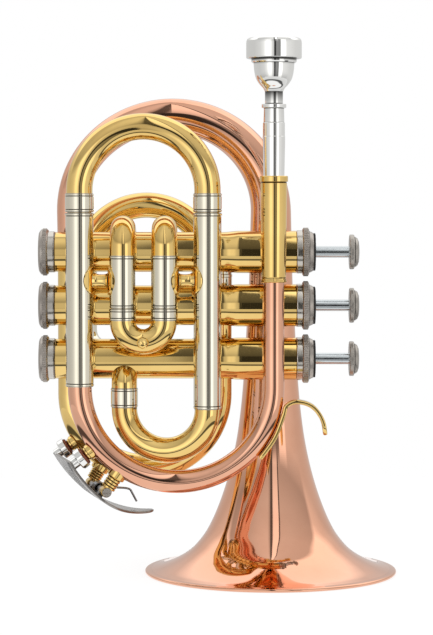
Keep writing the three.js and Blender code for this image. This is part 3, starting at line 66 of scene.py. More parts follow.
SHADE_FOLD_START, SHADE_FOLD_RANGE = 7, 9  # degrees of a fold from which painted shade darkens it, and on to its darkest
SHADE_FOLD_REACH = 0.3  # how far the painted shade of a fold spreads
WALL_RADIUS = 9.1  # where tubes that are soldered into a casing end
RIGHT, BACK, UP = Vector((1.0, 0.0, 0.0)), Vector((0.0, 1.0, 0.0)), Vector((0.0, 0.0, 1.0))
WHITE = (1.0, 1.0, 1.0, 1.0)

Colour = tuple[float, float, float]
Profile = list[tuple[float, float]]
Table = tuple[tuple[float, float], ...]
Socket = bpy.types.NodeSocket


class Body(Enum):
    """The bodies of the model that pieces ride on."""

    INSTRUMENT = "instrument"
    VALVE_1 = "valve_1"
    VALVE_2 = "valve_2"
    VALVE_3 = "valve_3"
    TUNING_SLIDE = "tuning_slide"
    FIRST_SLIDE = "first_slide"
    SECOND_SLIDE = "second_slide"
    THIRD_SLIDE = "third_slide"
    WATER_KEY = "water_key"
    MOUTHPIECE = "mouthpiece"


class Slot(Enum):
    """The material slots of the record."""

    ROSE_COPPER = "rose_copper"
    LACQUERED_BRASS = "lacquered_brass"
    NICKEL_SILVER = "nickel_silver"
    SILVER_PLATE = "silver_plate"
    DULL_NICKEL = "dull_nickel"
    SPRING_STEEL = "spring_steel"
    CORK = "cork"
    FELT = "felt"


class Board:
    """Lays out the nodes of one node tree and links them."""

    def __init__(self, tree: bpy.types.NodeTree, prefix: str = "ShaderNode") -> None:
        """Keep the tree that the nodes go into, and how their names start."""
        self.tree, self.prefix = tree, prefix

    def add(
        self, kind: str, ports: dict[int | str, object] | None = None, out: int | str = 0, **settings: object,
    ) -> Socket | None:
        """Add a node.

        Args:
            kind: Blender's name of the node, without the prefix.
            ports: its inputs, by number or name. A list holds several sockets for one input.
            out: the output that is wanted.
            settings: the node's own properties.

        Returns:
            The wanted output, None where the node has none.
        """
        node = self.tree.nodes.new(kind if kind.startswith("NodeGroup") else self.prefix + kind)
        for key, value in settings.items():
            setattr(node, key, value)
        for key, given in (ports or {}).items():
            for value in given if isinstance(given, list) else [given]:
                if isinstance(value, Socket):
                    self.tree.links.new(value, node.inputs[key])
                else:
                    node.inputs[key].default_value = value
        return node.outputs[out] if node.outputs else None

    def math(self, operation: str, *values: object) -> Socket:
        """Add a Math node."""
        return self.add("Math", dict(enumerate(values)), operation=operation)

    def spread(self, value: Socket, low: float, high: float, to_low: float = 0.0, to_high: float = 1.0) -> Socket:
        """Map a range of values to another."""
        ports = {"Value": value, "From Min": low, "From Max": high, "To Min": to_low, "To Max": to_high}
        return self.add("MapRange", ports)

    def noise(self, place: Socket, scale: float, detail: float, roughness: float) -> Socket:
        """Add a noise."""
        ports = {"Vector": place, "Scale": scale, "Detail": detail, "Roughness": roughness}
        return self.add("TexNoise", ports)

    def mix(self, share: Socket, first: Socket | Colour, second: Socket | Colour) -> Socket:
        """Mix two colours."""
        colours = [colour if isinstance(colour, Socket) else (*colour, 1.0) for colour in (first, second)]
        return self.add("Mix", {0: share, 6: colours[0], 7: colours[1]}, 2, data_type="RGBA")

    def blend(self, share: Socket | float, first: Socket, second: Socket) -> Socket:
        """Mix two shaders."""
        return self.add("MixShader", {0: share, 1: first, 2: second})

    def ramp(self, value: Socket, table: Sequence[tuple[float, float]]) -> Socket:
        """Add a ramp of greys.

        Args:
            value: what runs along it.
            table: pairs of place and brightness.

        Returns:
            The grey.
        """
        grey = self.add("ValToRGB", {0: value})
        stops = grey.node.color_ramp.elements
        while len(stops) < len(table):
            stops.new(0.5)
        for stop, (place, level) in zip(stops, table):
            stop.position = place
            stop.color = (level, level, level, 1.0)
        return grey


def cleared(owner: bpy.types.Material | bpy.types.World) -> Board:
    """Empty the nodes of a material or a world.

    Args:
        owner: the material or the world.

    Returns:
        Its board.
    """
    owner.use_nodes = True
    owner.node_tree.nodes.clear()
    return Board(owner.node_tree)


@dataclass(frozen=True)
class Finish:
    """What a piece is made of: a procedural material and the slot that it stands for."""

    name: str
    slot: Slot
    colour: Colour
    stain: Colour

    def material(self) -> bpy.types.Material:
        """Return the finish's material, made once.

        Returns:
            The procedural material.
        """
        made = bpy.data.materials.get(self.name)
        if not made:
            made = bpy.data.materials.new(self.name)
            board = cleared(made)
            place = board.add("TexCoord", out="Object")
            board.add("OutputMaterial", {"Surface": self.surface(board, place)})
        return made

    def surface(self, board: Board, place: Socket) -> Socket:
        """Lay out the finish's shader, which each kind of finish does in its own way."""
        raise NotImplementedError


@dataclass(frozen=True)
class MetalFinish(Finish):
    """A polished or brushed metal, with clouded tarnish, painted shade in its folds, fine wipe marks and a slight
    grain.
    """

    roughness: tuple[float, float]
    stain_share: float = 0.5
    cloud_scale: float = 34.0
    mark_scale: float = 420.0
    grain_scale: float = 1400.0
    grain_stretch: tuple[float, float, float] = (1.0, 1.0, 1.0)
    bump: float = 0.004
    # how dark the painted shade in folds is, as a share of the stain colour
    groove_share: float = 0.1

    def surface(self, board: Board, place: Socket) -> Socket:
        """Lay out the metal.

        Args:
            board: the material's nodes.
            place: the object's coordinates.

        Returns:
            The shader.
        """
        cloud = board.noise(place, self.cloud_scale, 5.0, 0.6)
        clouded = board.mix(board.spread(cloud, 0.42, 0.72, 0.0, self.stain_share), self.colour, self.stain)
        # painted shade: the colour goes nearly black where the mesh folds inwards
        groove = board.add("Attribute", out="Fac", attribute_name="groove")
        marks = board.noise(place, self.mark_scale, 4.0, 0.65)
        turned = board.add("Mapping", {"Vector": place, "Scale": self.grain_stretch})
        grain = board.noise(turned, self.grain_scale, 3.0, 0.6)
        return board.add("BsdfPrincipled", {
            "Base Color": board.mix(groove, clouded, tuple(part * self.groove_share for part in self.stain)),
            "Roughness": board.spread(marks, 0.35, 0.75, *self.roughness), "Metallic": 1.0,
            "Normal": board.add("Bump", {"Strength": self.bump, "Distance": 0.0002, "Height": grain}),
        })


@dataclass(frozen=True)
class SoftFinish(Finish):
    """A matt finish of grains or fibres, such as cork or felt."""

    grain_scale: float
    bump: float
    cells: bool = False

    def surface(self, board: Board, place: Socket) -> Socket:
        """Lay out the grains or fibres.

        Args:
            board: the material's nodes.
            place: the object's coordinates.

        Returns:
            The shader.
        """
        if self.cells:
            grain = board.add("TexVoronoi", {"Vector": place, "Scale": self.grain_scale})
        else:
            grain = board.noise(place, self.grain_scale, 8.0, 0.8)
        return board.add("BsdfPrincipled", {
            "Base Color": board.mix(board.spread(grain, 0.2, 0.75), self.colour, self.stain), "Roughness": 0.92,
            "Normal": board.add("Bump", {"Strength": self.bump, "Distance": 0.0003, "Height": grain}),
        })


ROSE_COPPER = MetalFinish(
    "polished_rose_copper", Slot.ROSE_COPPER, (0.85, 0.46, 0.31), (0.66, 0.29, 0.17), (0.025, 0.06), 0.3,
)
LACQUERED_BRASS = MetalFinish(
    "polished_yellow_brass", Slot.LACQUERED_BRASS, (0.89, 0.635, 0.235), (0.67, 0.38, 0.09), (0.025, 0.06), 0.35,
)
NICKEL_SILVER = MetalFinish(
    "polished_nickel_silver", Slot.NICKEL_SILVER, (0.80, 0.75, 0.62), (0.66, 0.61, 0.48), (0.03, 0.07), 0.3,
)
SILVER_PLATE = MetalFinish(
    "bright_silver_plate", Slot.SILVER_PLATE, (0.92, 0.92, 0.90), (0.74, 0.72, 0.68), (0.02, 0.05), 0.2,
)
DULL_NICKEL = MetalFinish(
    "worn_nickel", Slot.DULL_NICKEL, (0.46, 0.42, 0.38), (0.32, 0.28, 0.25), (0.28, 0.42), 0.6,
    mark_scale=900.0, bump=0.16,
)
BAND_NICKEL = MetalFinish(
    "bright_band_nickel", Slot.DULL_NICKEL, (0.62, 0.59, 0.54), (0.44, 0.40, 0.36), (0.12, 0.2), 0.5,
)
STEM_STEEL = MetalFinish(
    "stem_steel", Slot.SPRING_STEEL, (0.60, 0.64, 0.66), (0.44, 0.47, 0.49), (0.1, 0.18), 0.4,
    grain_stretch=(0.05, 1.0, 1.0), bump=0.03,
)
BUTTON_STEEL = MetalFinish(
    "button_steel", Slot.SPRING_STEEL, (0.44, 0.41, 0.37), (0.28, 0.25, 0.22), (0.3, 0.42), 0.6,
    mark_scale=800.0, bump=0.14,
)
SPRING_STEEL = MetalFinish(
    "spring_wire", Slot.SPRING_STEEL, (0.36, 0.37, 0.38), (0.24, 0.24, 0.25), (0.2, 0.32), 0.4,
)
BRUSHED_NICKEL = MetalFinish(
    "brushed_nickel", Slot.NICKEL_SILVER, (0.36, 0.34, 0.32), (0.17, 0.15, 0.14), (0.14, 0.28), 0.7,
    cloud_scale=90.0, grain_scale=2200.0, grain_stretch=(0.12, 1.0, 0.12), bump=0.12,
)
CORK = SoftFinish("grained_cork", Slot.CORK, (0.36, 0.125, 0.07), (0.15, 0.04, 0.02), 2600.0, 0.6, cells=True)
FELT = SoftFinish("worn_felt", Slot.FELT, (0.045, 0.042, 0.04), (0.014, 0.013, 0.013), 3400.0, 0.8)


def spot(x: float, y: float, z: float) -> Vector:
    """Return a point."""
    return Vector((x, y, z))


class Route:
    """A centreline kept as stations, dense enough for its bends."""

    def __init__(self, start: Vector, *points: Vector) -> None:
        """Start the route.

        Args:
            start: its first point.
            points: where it goes straight on to.
        """
        self.points, self.lengths = [start.copy()], [0.0]
        for point in points:
            self.to(point)

    @property
    def length(self) -> float:
        """Return the whole length."""
        return self.lengths[-1]

    def to(self, point: Vector) -> "Route":
        """Carry the route straight on.

        Args:
            point: where it goes.

        Returns:
            The route.
        """
        self.lengths.append(self.length + (point - self.points[-1]).length)
        self.points.append(point.copy())
        return self

    def half_turn(self, end: Vector, rise: Vector) -> "Route":
        """Carry the route round a half turn.

        Args:
            end: the foot of the other leg.
            rise: from between both feet to the top of the turn.

        Returns:
            The route.
        """
        start = self.points[-1].copy()
        for step in range(1, BEND_STEPS + 1):
            turn = math.pi * step / BEND_STEPS
            self.to(start.lerp(end, (1 - math.cos(turn)) / 2) + rise * math.sin(turn))
        return self

    def arc(self, bend: float, degrees: float, steps: int) -> "Route":
        """Turn an upright route over.

        Args:
            bend: radius of the turn, negative towards the front.
            degrees: how far it turns.
            steps: stations along it.

        Returns:
            The route.
        """
        start = self.points[-1].copy()
        for step in range(1, steps + 1):
            turn = math.radians(degrees) * step / steps
            self.to(start + BACK * (bend * (1 - math.cos(turn))) + UP * (abs(bend) * math.sin(turn)))
        return self

    def bend(self, first: Vector, second: Vector, end: Vector, steps: int) -> "Route":
        """Carry the route on along a free bend.

        Args:
            first: where it sets out to.
            second: where it arrives from.
            end: its end.
            steps: stations along it.

        Returns:
            The route.
        """
        start = self.points[-1].copy()
        for t in (step / steps for step in range(1, steps + 1)):
            left = 1 - t
            self.to(start * left**3 + first * (3 * t * left**2) + second * (3 * t**2 * left) + end * t**3)
        return self

    def at(self, distance: float) -> tuple[Vector, Vector]:
        """Give the point and the direction at a distance.

        Args:
            distance: from the start.

        Returns:
            The point, and the direction there.
        """
        last = len(self.points) - 1
        i = 1
        while i < last and self.lengths[i] < distance:
            i += 1
        share = (distance - self.lengths[i - 1]) / (self.lengths[i] - self.lengths[i - 1])
        here = self.points[i] - self.points[i - 1]
        before = self.points[max(1, i - 1)] - self.points[max(0, i - 2)]
        after = self.points[min(last, i + 1)] - self.points[min(last - 1, i)]
        start, end = (here.normalized() + beside.normalized() for beside in (before, after))
        return self.points[i - 1] + here * share, start.normalized().lerp(end.normalized(), share).normalized()

    def profile(self, rings: Profile) -> Profile:
        """Add the route's own stations to a profile, so that it can follow the bends.

        Args:
            rings: pairs of distance and radius.

        Returns:
            The profile with a pair more for each station between its own.
        """
        rings = held(rings)
        full: Profile = [rings[0]]
        for (start, start_radius), (end, end_radius) in zip(rings, rings[1:]):
            for length in self.lengths:
                if start + 0.05 < length < end - 0.05:
                    share = (length - start) / (end - start)
                    full.append((length, start_radius + (end_radius - start_radius) * share))
            full.append((end, end_radius))
        return full


def past(base: float, *pairs: tuple[float, float]) -> Profile:
    """Return pairs of distance and radius whose distances count from a base."""
    return [(base + distance, radius) for distance, radius in pairs]


def held(profile: Profile, loop: bool = False) -> Profile:
    """Add a pair near both ends of each long side, so that smooth shading keeps the side straight.

    Args:
        profile: pairs of distance and radius.
        loop: whether the profile ends where it starts.

    Returns:
        The profile with its holding pairs.
    """
    out: Profile = []
    for i, here in enumerate(profile):
        out.append(here)
        start, end = Vector(here), Vector(profile[(i + 1) % len(profile)])
        span = (end - start).length
        if span > HOLD * 5 and (loop or i + 1 < len(profile)):
            out += [tuple(start.lerp(end, HOLD / span)), tuple(end.lerp(start, HOLD / span))]
    return out


def smooth(profile: Sequence[tuple[float, float]], steps: int = 5) -> Profile:
    """Draw a smooth curve through the pairs of a profile.

    Args:
        profile: pairs of distance and radius.
        steps: points for each stretch.

    Returns:
        The denser profile.
    """
    points = [Vector(pair) for pair in profile]
    last = len(points) - 1
    curve: Profile = []
    for i in range(last):
        a, b, c, d = points[max(0, i - 1)], points[i], points[i + 1], points[min(last, i + 2)]
        span = (c - b).length
        start = (c - a) * (span / max(1e-6, (b - a).length + span)) if i else c - b
        end = (d - b) * (span / max(1e-6, (d - c).length + span)) if i + 1 < last else c - b
        for t in (step / steps for step in range(steps)):
            curve.append(tuple(
                b * (2 * t**3 - 3 * t**2 + 1) + start * (t**3 - 2 * t**2 + t)
                + c * (3 * t**2 - 2 * t**3) + end * (t**3 - t**2)
            ))
    return [*curve, tuple(points[-1])]


def rounded(profile: Profile, radius: float, steps: int = 4, loop: bool = False) -> Profile:
    """Round the corners of a profile.

    Args:
        profile: pairs of distance and radius.
        radius: of the rounding, less where a side is short.
        steps: faces round each corner.
        loop: whether the profile ends where it starts.

    Returns:
        The rounded profile.
    """
    points = [Vector(pair) for pair in profile]
    out: Profile = []
    for i, corner in enumerate(points):
        before, after = points[i - 1] - corner, points[(i + 1) % len(points)] - corner
        end = not loop and i in (0, len(points) - 1)
        angle = math.pi if end or min(before.length, after.length) < 1e-6 else before.angle(after)
        if angle > math.radians(160):
            out.append(tuple(corner))
            continue
        reach = min(radius / math.tan(angle / 2), before.length * 0.49, after.length * 0.49)
        first, last = corner + before.normalized() * reach, corner + after.normalized() * reach
        for t in (step / steps for step in range(steps + 1)):
            out.append(tuple(first * (1 - t) ** 2 + corner * (2 * t * (1 - t)) + last * t**2))
    return out


def wall(radius: float, *pairs: tuple[float, float]) -> Profile:
    """Return the closed profile of a wall with rounded corners."""
    return rounded(list(pairs), radius, loop=True)


def sleeve(
    foot: float, top: float, bore: float, radius: float, rises: tuple[float | None, float | None],
    lengths: tuple[float, float] = (1.1, 1.1),
) -> Profile:
    """Outline a sleeve, with a ring between two thin grooves at its ends.

    Args:
        foot: where it starts.
        top: where it ends.
        bore: its inner radius.
        radius: its outer radius.
        rises: how far the rings stand out at the foot and the top, None for a plain end.
        lengths: of the rings.

    Returns:
        The wall's closed profile.
    """
    out: Profile = []
    for end, way, rise, length in ((foot, 1, rises[0], lengths[0]), (top, -1, rises[1], lengths[1])):
        side = [(end, bore), (end, radius)]
        if rise is not None:
            crest, floor = radius + rise, radius - SEAM_DEPTH
            seam, ring = way * SEAM, way * length
            side = past(
                end, (0, bore), (0, floor + rise), (seam, floor + rise), (seam, crest), (ring, crest), (ring, floor),
                (ring + seam, floor), (ring + seam, radius),
            )
        out += side[::way]
    return rounded(out, 0.06, loop=True)


@dataclass
class Shape:
    """Points in millimetres and the faces between them, before they become a mesh."""

    points: list[Vector] = field(default_factory=list)
    faces: list[tuple[int, ...]] = field(default_factory=list)

    def rings(self, rings: Sequence[Sequence[Vector]], loop: bool = False) -> "Shape":
        """Add a skin over rings of points, where a ring of one point is a pole.

        Args:
            rings: the rings, of as many points each.
            loop: whether the last ring meets the first.

        Returns:
            The shape.
        """
        starts = []
        for ring in rings:
            starts.append(len(self.points))
            self.points.extend(ring)
        ends = [(starts[i], len(ring)) for i, ring in enumerate(rings)]
        for (a, a_count), (b, b_count) in [*zip(ends, ends[1:]), *([(ends[-1], ends[0])] if loop else [])]:
            count = max(a_count, b_count)
            for k in range(count):
                n = (k + 1) % count
                near = (a,) if a_count == 1 else (a + k, a + n)
                self.faces.append(near + ((b,) if b_count == 1 else (b + n, b + k)))
        if not loop:
            self.faces += [tuple(range(start, start + count)) for start, count in (ends[0], ends[-1]) if count > 1]
        return self

    def turned(
        self, origin: Vector, axis: Vector, profile: Profile, sides: int = TURNED_SIDES, loop: bool = False,
        lobes: Callable[[float, float, float], float] | None = None,
    ) -> "Shape":
        """Add a profile turned about an axis.

        Args:
            origin: where the distances start.
            axis: the way they run.
            profile: pairs of distance and radius. A radius of 0 is a pole.
            sides: faces round the axis.
            loop: whether the profile is a closed wall.
            lobes: a factor on the radius from the angle, the distance and the radius.

        Returns:
            The shape.
        """
        axis = axis.normalized()
        side = axis.orthogonal().normalized()
        up = axis.cross(side)
        rings = []
        for along, radius in held(profile, loop):
            turns = [FULL_TURN * k / sides for k in range(sides)] if radius > 1e-6 else [0.0]
            sizes = [radius * (lobes(turn, along, radius) if lobes else 1.0) for turn in turns]
            rings.append([
                origin + axis * along + (side * math.cos(turn) + up * math.sin(turn)) * size
                for turn, size in zip(turns, sizes)
            ])
        return self.rings(rings, loop)

    def swept(self, route: Route, profile: Profile, reference: Vector, sides: int) -> "Shape":
        """Add a closed wall that follows a route.

        Args:
            route: its centreline.
            profile: the wall's loop, pairs of distance and radius.
            reference: the way that the wall's frames hold to.
            sides: faces round the route.

        Returns:
            The shape.
        """
        rings = []
        turns = [FULL_TURN * k / sides for k in range(sides)]
        for distance, radius in profile:
            point, way = route.at(min(max(distance, 0.0), route.length))
            side = (reference - way * reference.dot(way)).normalized()
            up = way.cross(side)
            rings.append([point + (side * math.cos(turn) + up * math.sin(turn)) * radius for turn in turns])
        return self.rings(rings, loop=True)

    def mesh(self, name: str) -> bpy.types.Mesh:
        """Make the shape a mesh in metres, with its faces outwards.

        Args:
            name: of the mesh.

        Returns:
            The mesh.
        """
        mesh = bpy.data.meshes.new(name)
        mesh.from_pydata([point * MM for point in self.points], [], self.faces)
        return outwards(mesh)


def outwards(mesh: bpy.types.Mesh) -> bpy.types.Mesh:
    """Turn every face of a closed mesh outwards.

    Args:
        mesh: the closed mesh.

    Returns:
        The same mesh.
    """
    work = bmesh.new()
    work.from_mesh(mesh)
    bmesh.ops.recalc_face_normals(work, faces=work.faces)
    work.to_mesh(mesh)
    work.free()
    return mesh


def paint_crease_shade(mesh: bpy.types.Mesh) -> None:
    """Note how sharply a mesh is folded inwards at each point, as painted shade in its creases.

    Args:
        mesh: the mesh that gets the attribute.
    """
    work = bmesh.new()
    work.from_mesh(mesh)
    depths = []
    for vertex in work.verts:
        folds = [-edge.calc_face_angle_signed(0.0) for edge in vertex.link_edges if len(edge.link_faces) == 2]
        deepest = math.degrees(max(folds, default=0.0))
        # painted shade: how dark each point is painted, from its sharpest inward fold
        depths.append(min(1.0, max(0.0, (deepest - SHADE_FOLD_START) / SHADE_FOLD_RANGE)))
    spread = [
        max([depths[v.index]] + [
            depths[edge.other_vert(v).index] for edge in v.link_edges if edge.calc_length() < SHADE_FOLD_REACH * MM
        ]) for v in work.verts
    ]
    work.free()
    mesh.attributes.new("groove", "FLOAT", "POINT").data.foreach_set("value", spread)


def push_out(mesh: bpy.types.Mesh, z: float, radius: float) -> None:
    """Move what lies inside a valve's cylinder out to its surface, so that a tube ends in the casing's wall.

    Args:
        mesh: the mesh, in metres.
        z: height of the valve's axis, in millimetres.
        radius: of the cylinder.
    """
    for vertex in mesh.vertices:
        away = Vector((0.0, vertex.co.y - LAYOUT.valve_y * MM, vertex.co.z - z * MM))
        if 1e-7 < away.length < radius * MM:
            vertex.co += away.normalized() * (radius * MM - away.length)


def applied(mesh: bpy.types.Mesh, kind: str, setup: Callable[[bpy.types.Modifier], None]) -> bpy.types.Mesh:
    """Run one modifier on a mesh and keep the result as a plain mesh.

    Args:
        mesh: what goes in.
        kind: of the modifier.
        setup: sets the modifier's inputs.

    Returns:
        The plain mesh, with its faces outwards.
    """
    holder = bpy.data.objects.new("holder", mesh)
    bpy.context.scene.collection.objects.link(holder)
    setup(holder.modifiers.new("step", kind))
    bpy.context.view_layer.update()
    graph = bpy.context.evaluated_depsgraph_get()
    result = bpy.data.meshes.new_from_object(
        holder.evaluated_get(graph), preserve_all_data_layers=True, depsgraph=graph,
    )
    holder.modifiers.clear()
    bpy.data.objects.remove(holder)
    return outwards(result)


def bevelled(mesh: bpy.types.Mesh, width: float) -> bpy.types.Mesh:
    """Round the edges of a mesh.

    Args:
        mesh: what goes in.
        width: of the rounding, in millimetres.

    Returns:
        The rounded mesh.
    """
    def setup(modifier: bpy.types.Modifier) -> None:
        """Set the bevel's sizes."""
        modifier.width, modifier.segments = width * MM, 3
        modifier.limit_method, modifier.angle_limit = "ANGLE", math.radians(40)

    return applied(mesh, "BEVEL", setup)


class GeometryTree:
    """One geometry tree with named inputs, which ends in Realize Instances and Set Material."""

    name = "tree"
    inputs: dict[str, str] = {}

    def __init__(self) -> None:
        """Build the tree."""
        self.tree = bpy.data.node_groups.new(self.name, "GeometryNodeTree")
        self.board = Board(self.tree, "GeometryNode")
        for name, kind in {"Geometry": "Geometry", **self.inputs, "Finish": "Material"}.items():
            self.tree.interface.new_socket(name, in_out="INPUT", socket_type=f"NodeSocket{kind}")
        self.tree.interface.new_socket("Geometry", in_out="OUTPUT", socket_type="NodeSocketGeometry")
        self.given = self.board.add("NodeGroupInput").node.outputs
        shaded = self.board.add("SetShadeSmooth", {"Geometry": self.geometry()})
        whole = self.board.add("RealizeInstances", {"Geometry": shaded})
        painted = self.board.add("SetMaterial", {"Geometry": whole, "Material": self.given["Finish"]})
        self.board.add("NodeGroupOutput", {0: painted})

    def geometry(self) -> Socket:
        """Build the tree's own nodes and return the socket with their result."""
        return self.given["Geometry"]

    def laid(self, geometry: Socket) -> Socket:
        """Lay what stands up down along the X axis, at the input called Place."""
        ports = {"Geometry": geometry, "Rotation": (0.0, math.pi / 2, 0.0), "Translation": self.given["Place"]}
        return self.board.add("Transform", ports)

    def run(self, mesh: bpy.types.Mesh, finish: Finish, **values: object) -> bpy.types.Mesh:
        """Run the tree on a mesh.

        Args:
            mesh: what goes in.
            finish: what the result is made of.
            values: the tree's inputs, where _ in a name stands for a space.

        Returns:
            The plain mesh.
        """
        given = {key.replace("_", " "): value for key, value in values.items()} | {"Finish": finish.material()}

        def setup(modifier: bpy.types.Modifier) -> None:
            """Set the tree and its inputs.

            Args:
                modifier: what runs the tree.
            """
            modifier.node_group = self.tree
            for item in self.tree.interface.items_tree:
                if item.in_out == "INPUT" and item.name in given:
                    modifier[item.identifier] = given[item.name]

        return applied(mesh, "NODES", setup)


class TubeTree(GeometryTree):
    """Draws a round tube over a line of points, each with its own radius."""

    name = "bent tube"
    inputs = {"Sides": "Int"}

    def geometry(self) -> Socket:
        """Build the line, the round section and the tube.

        Returns:
            The tube's socket.
        """
        board = self.board
        radius = board.add("InputNamedAttribute", {"Name": "reach"}, data_type="FLOAT")
        line = board.add("MeshToCurve", {"Mesh": self.given["Geometry"]})
        section = board.add("CurvePrimitiveCircle", {"Resolution": self.given["Sides"], "Radius": 1.0})
        ports = {"Curve": line, "Profile Curve": section, "Fill Caps": True, "Scale": radius}
        return board.add("CurveToMesh", ports)

    def tube(self, route: Route, rings: Profile, finish: Finish, sides: int) -> bpy.types.Mesh:
        """Make a closed tube along a route.

        Args:
            route: the centreline.
            rings: pairs of distance and radius.
            finish: what it is made of.
            sides: faces round it.

        Returns:
            The tube.
        """
        stations: Profile = []
        for distance, radius in route.profile(rings):
            least = stations[-1][0] + STEP_LENGTH if stations else distance
            stations.append((max(distance, least), radius))
        line = bpy.data.meshes.new("line")
        points = [route.at(distance)[0] * MM for distance, _ in stations]
        line.from_pydata(points, [(i, i + 1) for i in range(len(points) - 1)], [])
        reach = line.attributes.new("reach", "FLOAT", "POINT")
        reach.data.foreach_set("value", [radius * MM for _, radius in stations])
        return self.run(line, finish, Sides=sides)


class KnurlTree(GeometryTree):
    """Sets straight ribs round a turned cap, along the X axis."""

    name = "knurled ring"
    inputs = {"Ribs": "Int", "Circle": "Float", "Rib Radius": "Float", "Rib Length": "Float", "Place": "Vector"}

    def geometry(self) -> Socket:
        """Build the ribs and join them to the cap.

        Returns:
            The ribbed cap's socket.
        """
        board, given = self.board, self.given
        circle = board.add("MeshCircle", {"Vertices": given["Ribs"], "Radius": given["Circle"]})
        ports = {"Vertices": 8, "Radius": given["Rib Radius"], "Depth": given["Rib Length"]}
        ribs = board.add("InstanceOnPoints", {"Points": circle, "Instance": board.add("MeshCylinder", ports)})
        return board.add("JoinGeometry", {0: [given["Geometry"], self.laid(ribs)]})


class CoilTree(GeometryTree):
    """Winds a round wire into a coil along the X axis."""

    name = "wound spring"
    inputs = {"Turns": "Float", "Radius": "Float", "Length": "Float", "Wire": "Float", "Place": "Vector"}

    def geometry(self) -> Socket:
        """Build the helix and its wire.

        Returns:
            The coil's socket.
        """
        board, given = self.board, self.given
        helix = board.add("CurveSpiral", {
            "Resolution": 28, "Rotations": given["Turns"], "Start Radius": given["Radius"],
            "End Radius": given["Radius"], "Height": given["Length"],
        })
        section = board.add("CurvePrimitiveCircle", {"Resolution": 12, "Radius": given["Wire"]})
        return self.laid(board.add("CurveToMesh", {"Curve": helix, "Profile Curve": section, "Fill Caps": True}))


@dataclass
class Workshop:
    """The geometry trees."""

    tubes: TubeTree = field(default_factory=TubeTree)
    knurls: KnurlTree = field(default_factory=KnurlTree)
    coils: CoilTree = field(default_factory=CoilTree)


@dataclass(frozen=True)
class Layout:
    """Places that several sub-assemblies share."""

    valve_y: float = -24.0
    valve_z: tuple[float, float, float] = (159.3, 133.5, 107.7)
    front_y: float = -41.3
    tail_y: float = -6.5
    third_y: float = 8.5
    first_y: float = -45.1
    feed_y: float = -31.5
    leadpipe_x: float = 25.4
    left_x: float = -66.9
    right_x: float = -6.1
    slide_x: float = -36.5
    tail_left_x: float = -73.3
    tail_right_x: float = -0.7
    leadpipe_bow_z: float = 95.2
    leadpipe_bow_drop: float = 45.2
    leadpipe_end_radius: float = 5.75
    tail_bow_z: float = 89.3
    tail_tube_radius: float = 6.37
    bell_bow_z: float = 178.5
    bell_x: float = 25.0
    bell_stem_radius: float = 10.7
    main_tube_top: float = 178.1
    receiver_top: float = 195.6
    leg_radius: float = 5.8
    main_radius: float = 6.65
    crook_radius: float = 6.27
    first_half_pitch: float = 9.85
    first_tube_radius: float = 6.15
    small_bore: float = 5.65
    small_leg: float = 5.35
    small_crook_radius: float = 6.05

    @property
    def bow_centre_x(self) -> float:
        """Return the middle of the leadpipe's bow."""
        return (self.leadpipe_x + self.left_x) / 2

    @property
    def bow_half(self) -> float:
        """Return half the width of the leadpipe's bow."""
        return (self.leadpipe_x - self.left_x) / 2

    @property
    def tail_centre_x(self) -> float:
        """Return the middle of the tail's bow."""
        return (self.tail_left_x + self.tail_right_x) / 2

    @property
    def tail_radius(self) -> float:
        """Return the radius of the tail's bow."""
        return (self.tail_right_x - self.tail_left_x) / 2


LAYOUT = Layout()


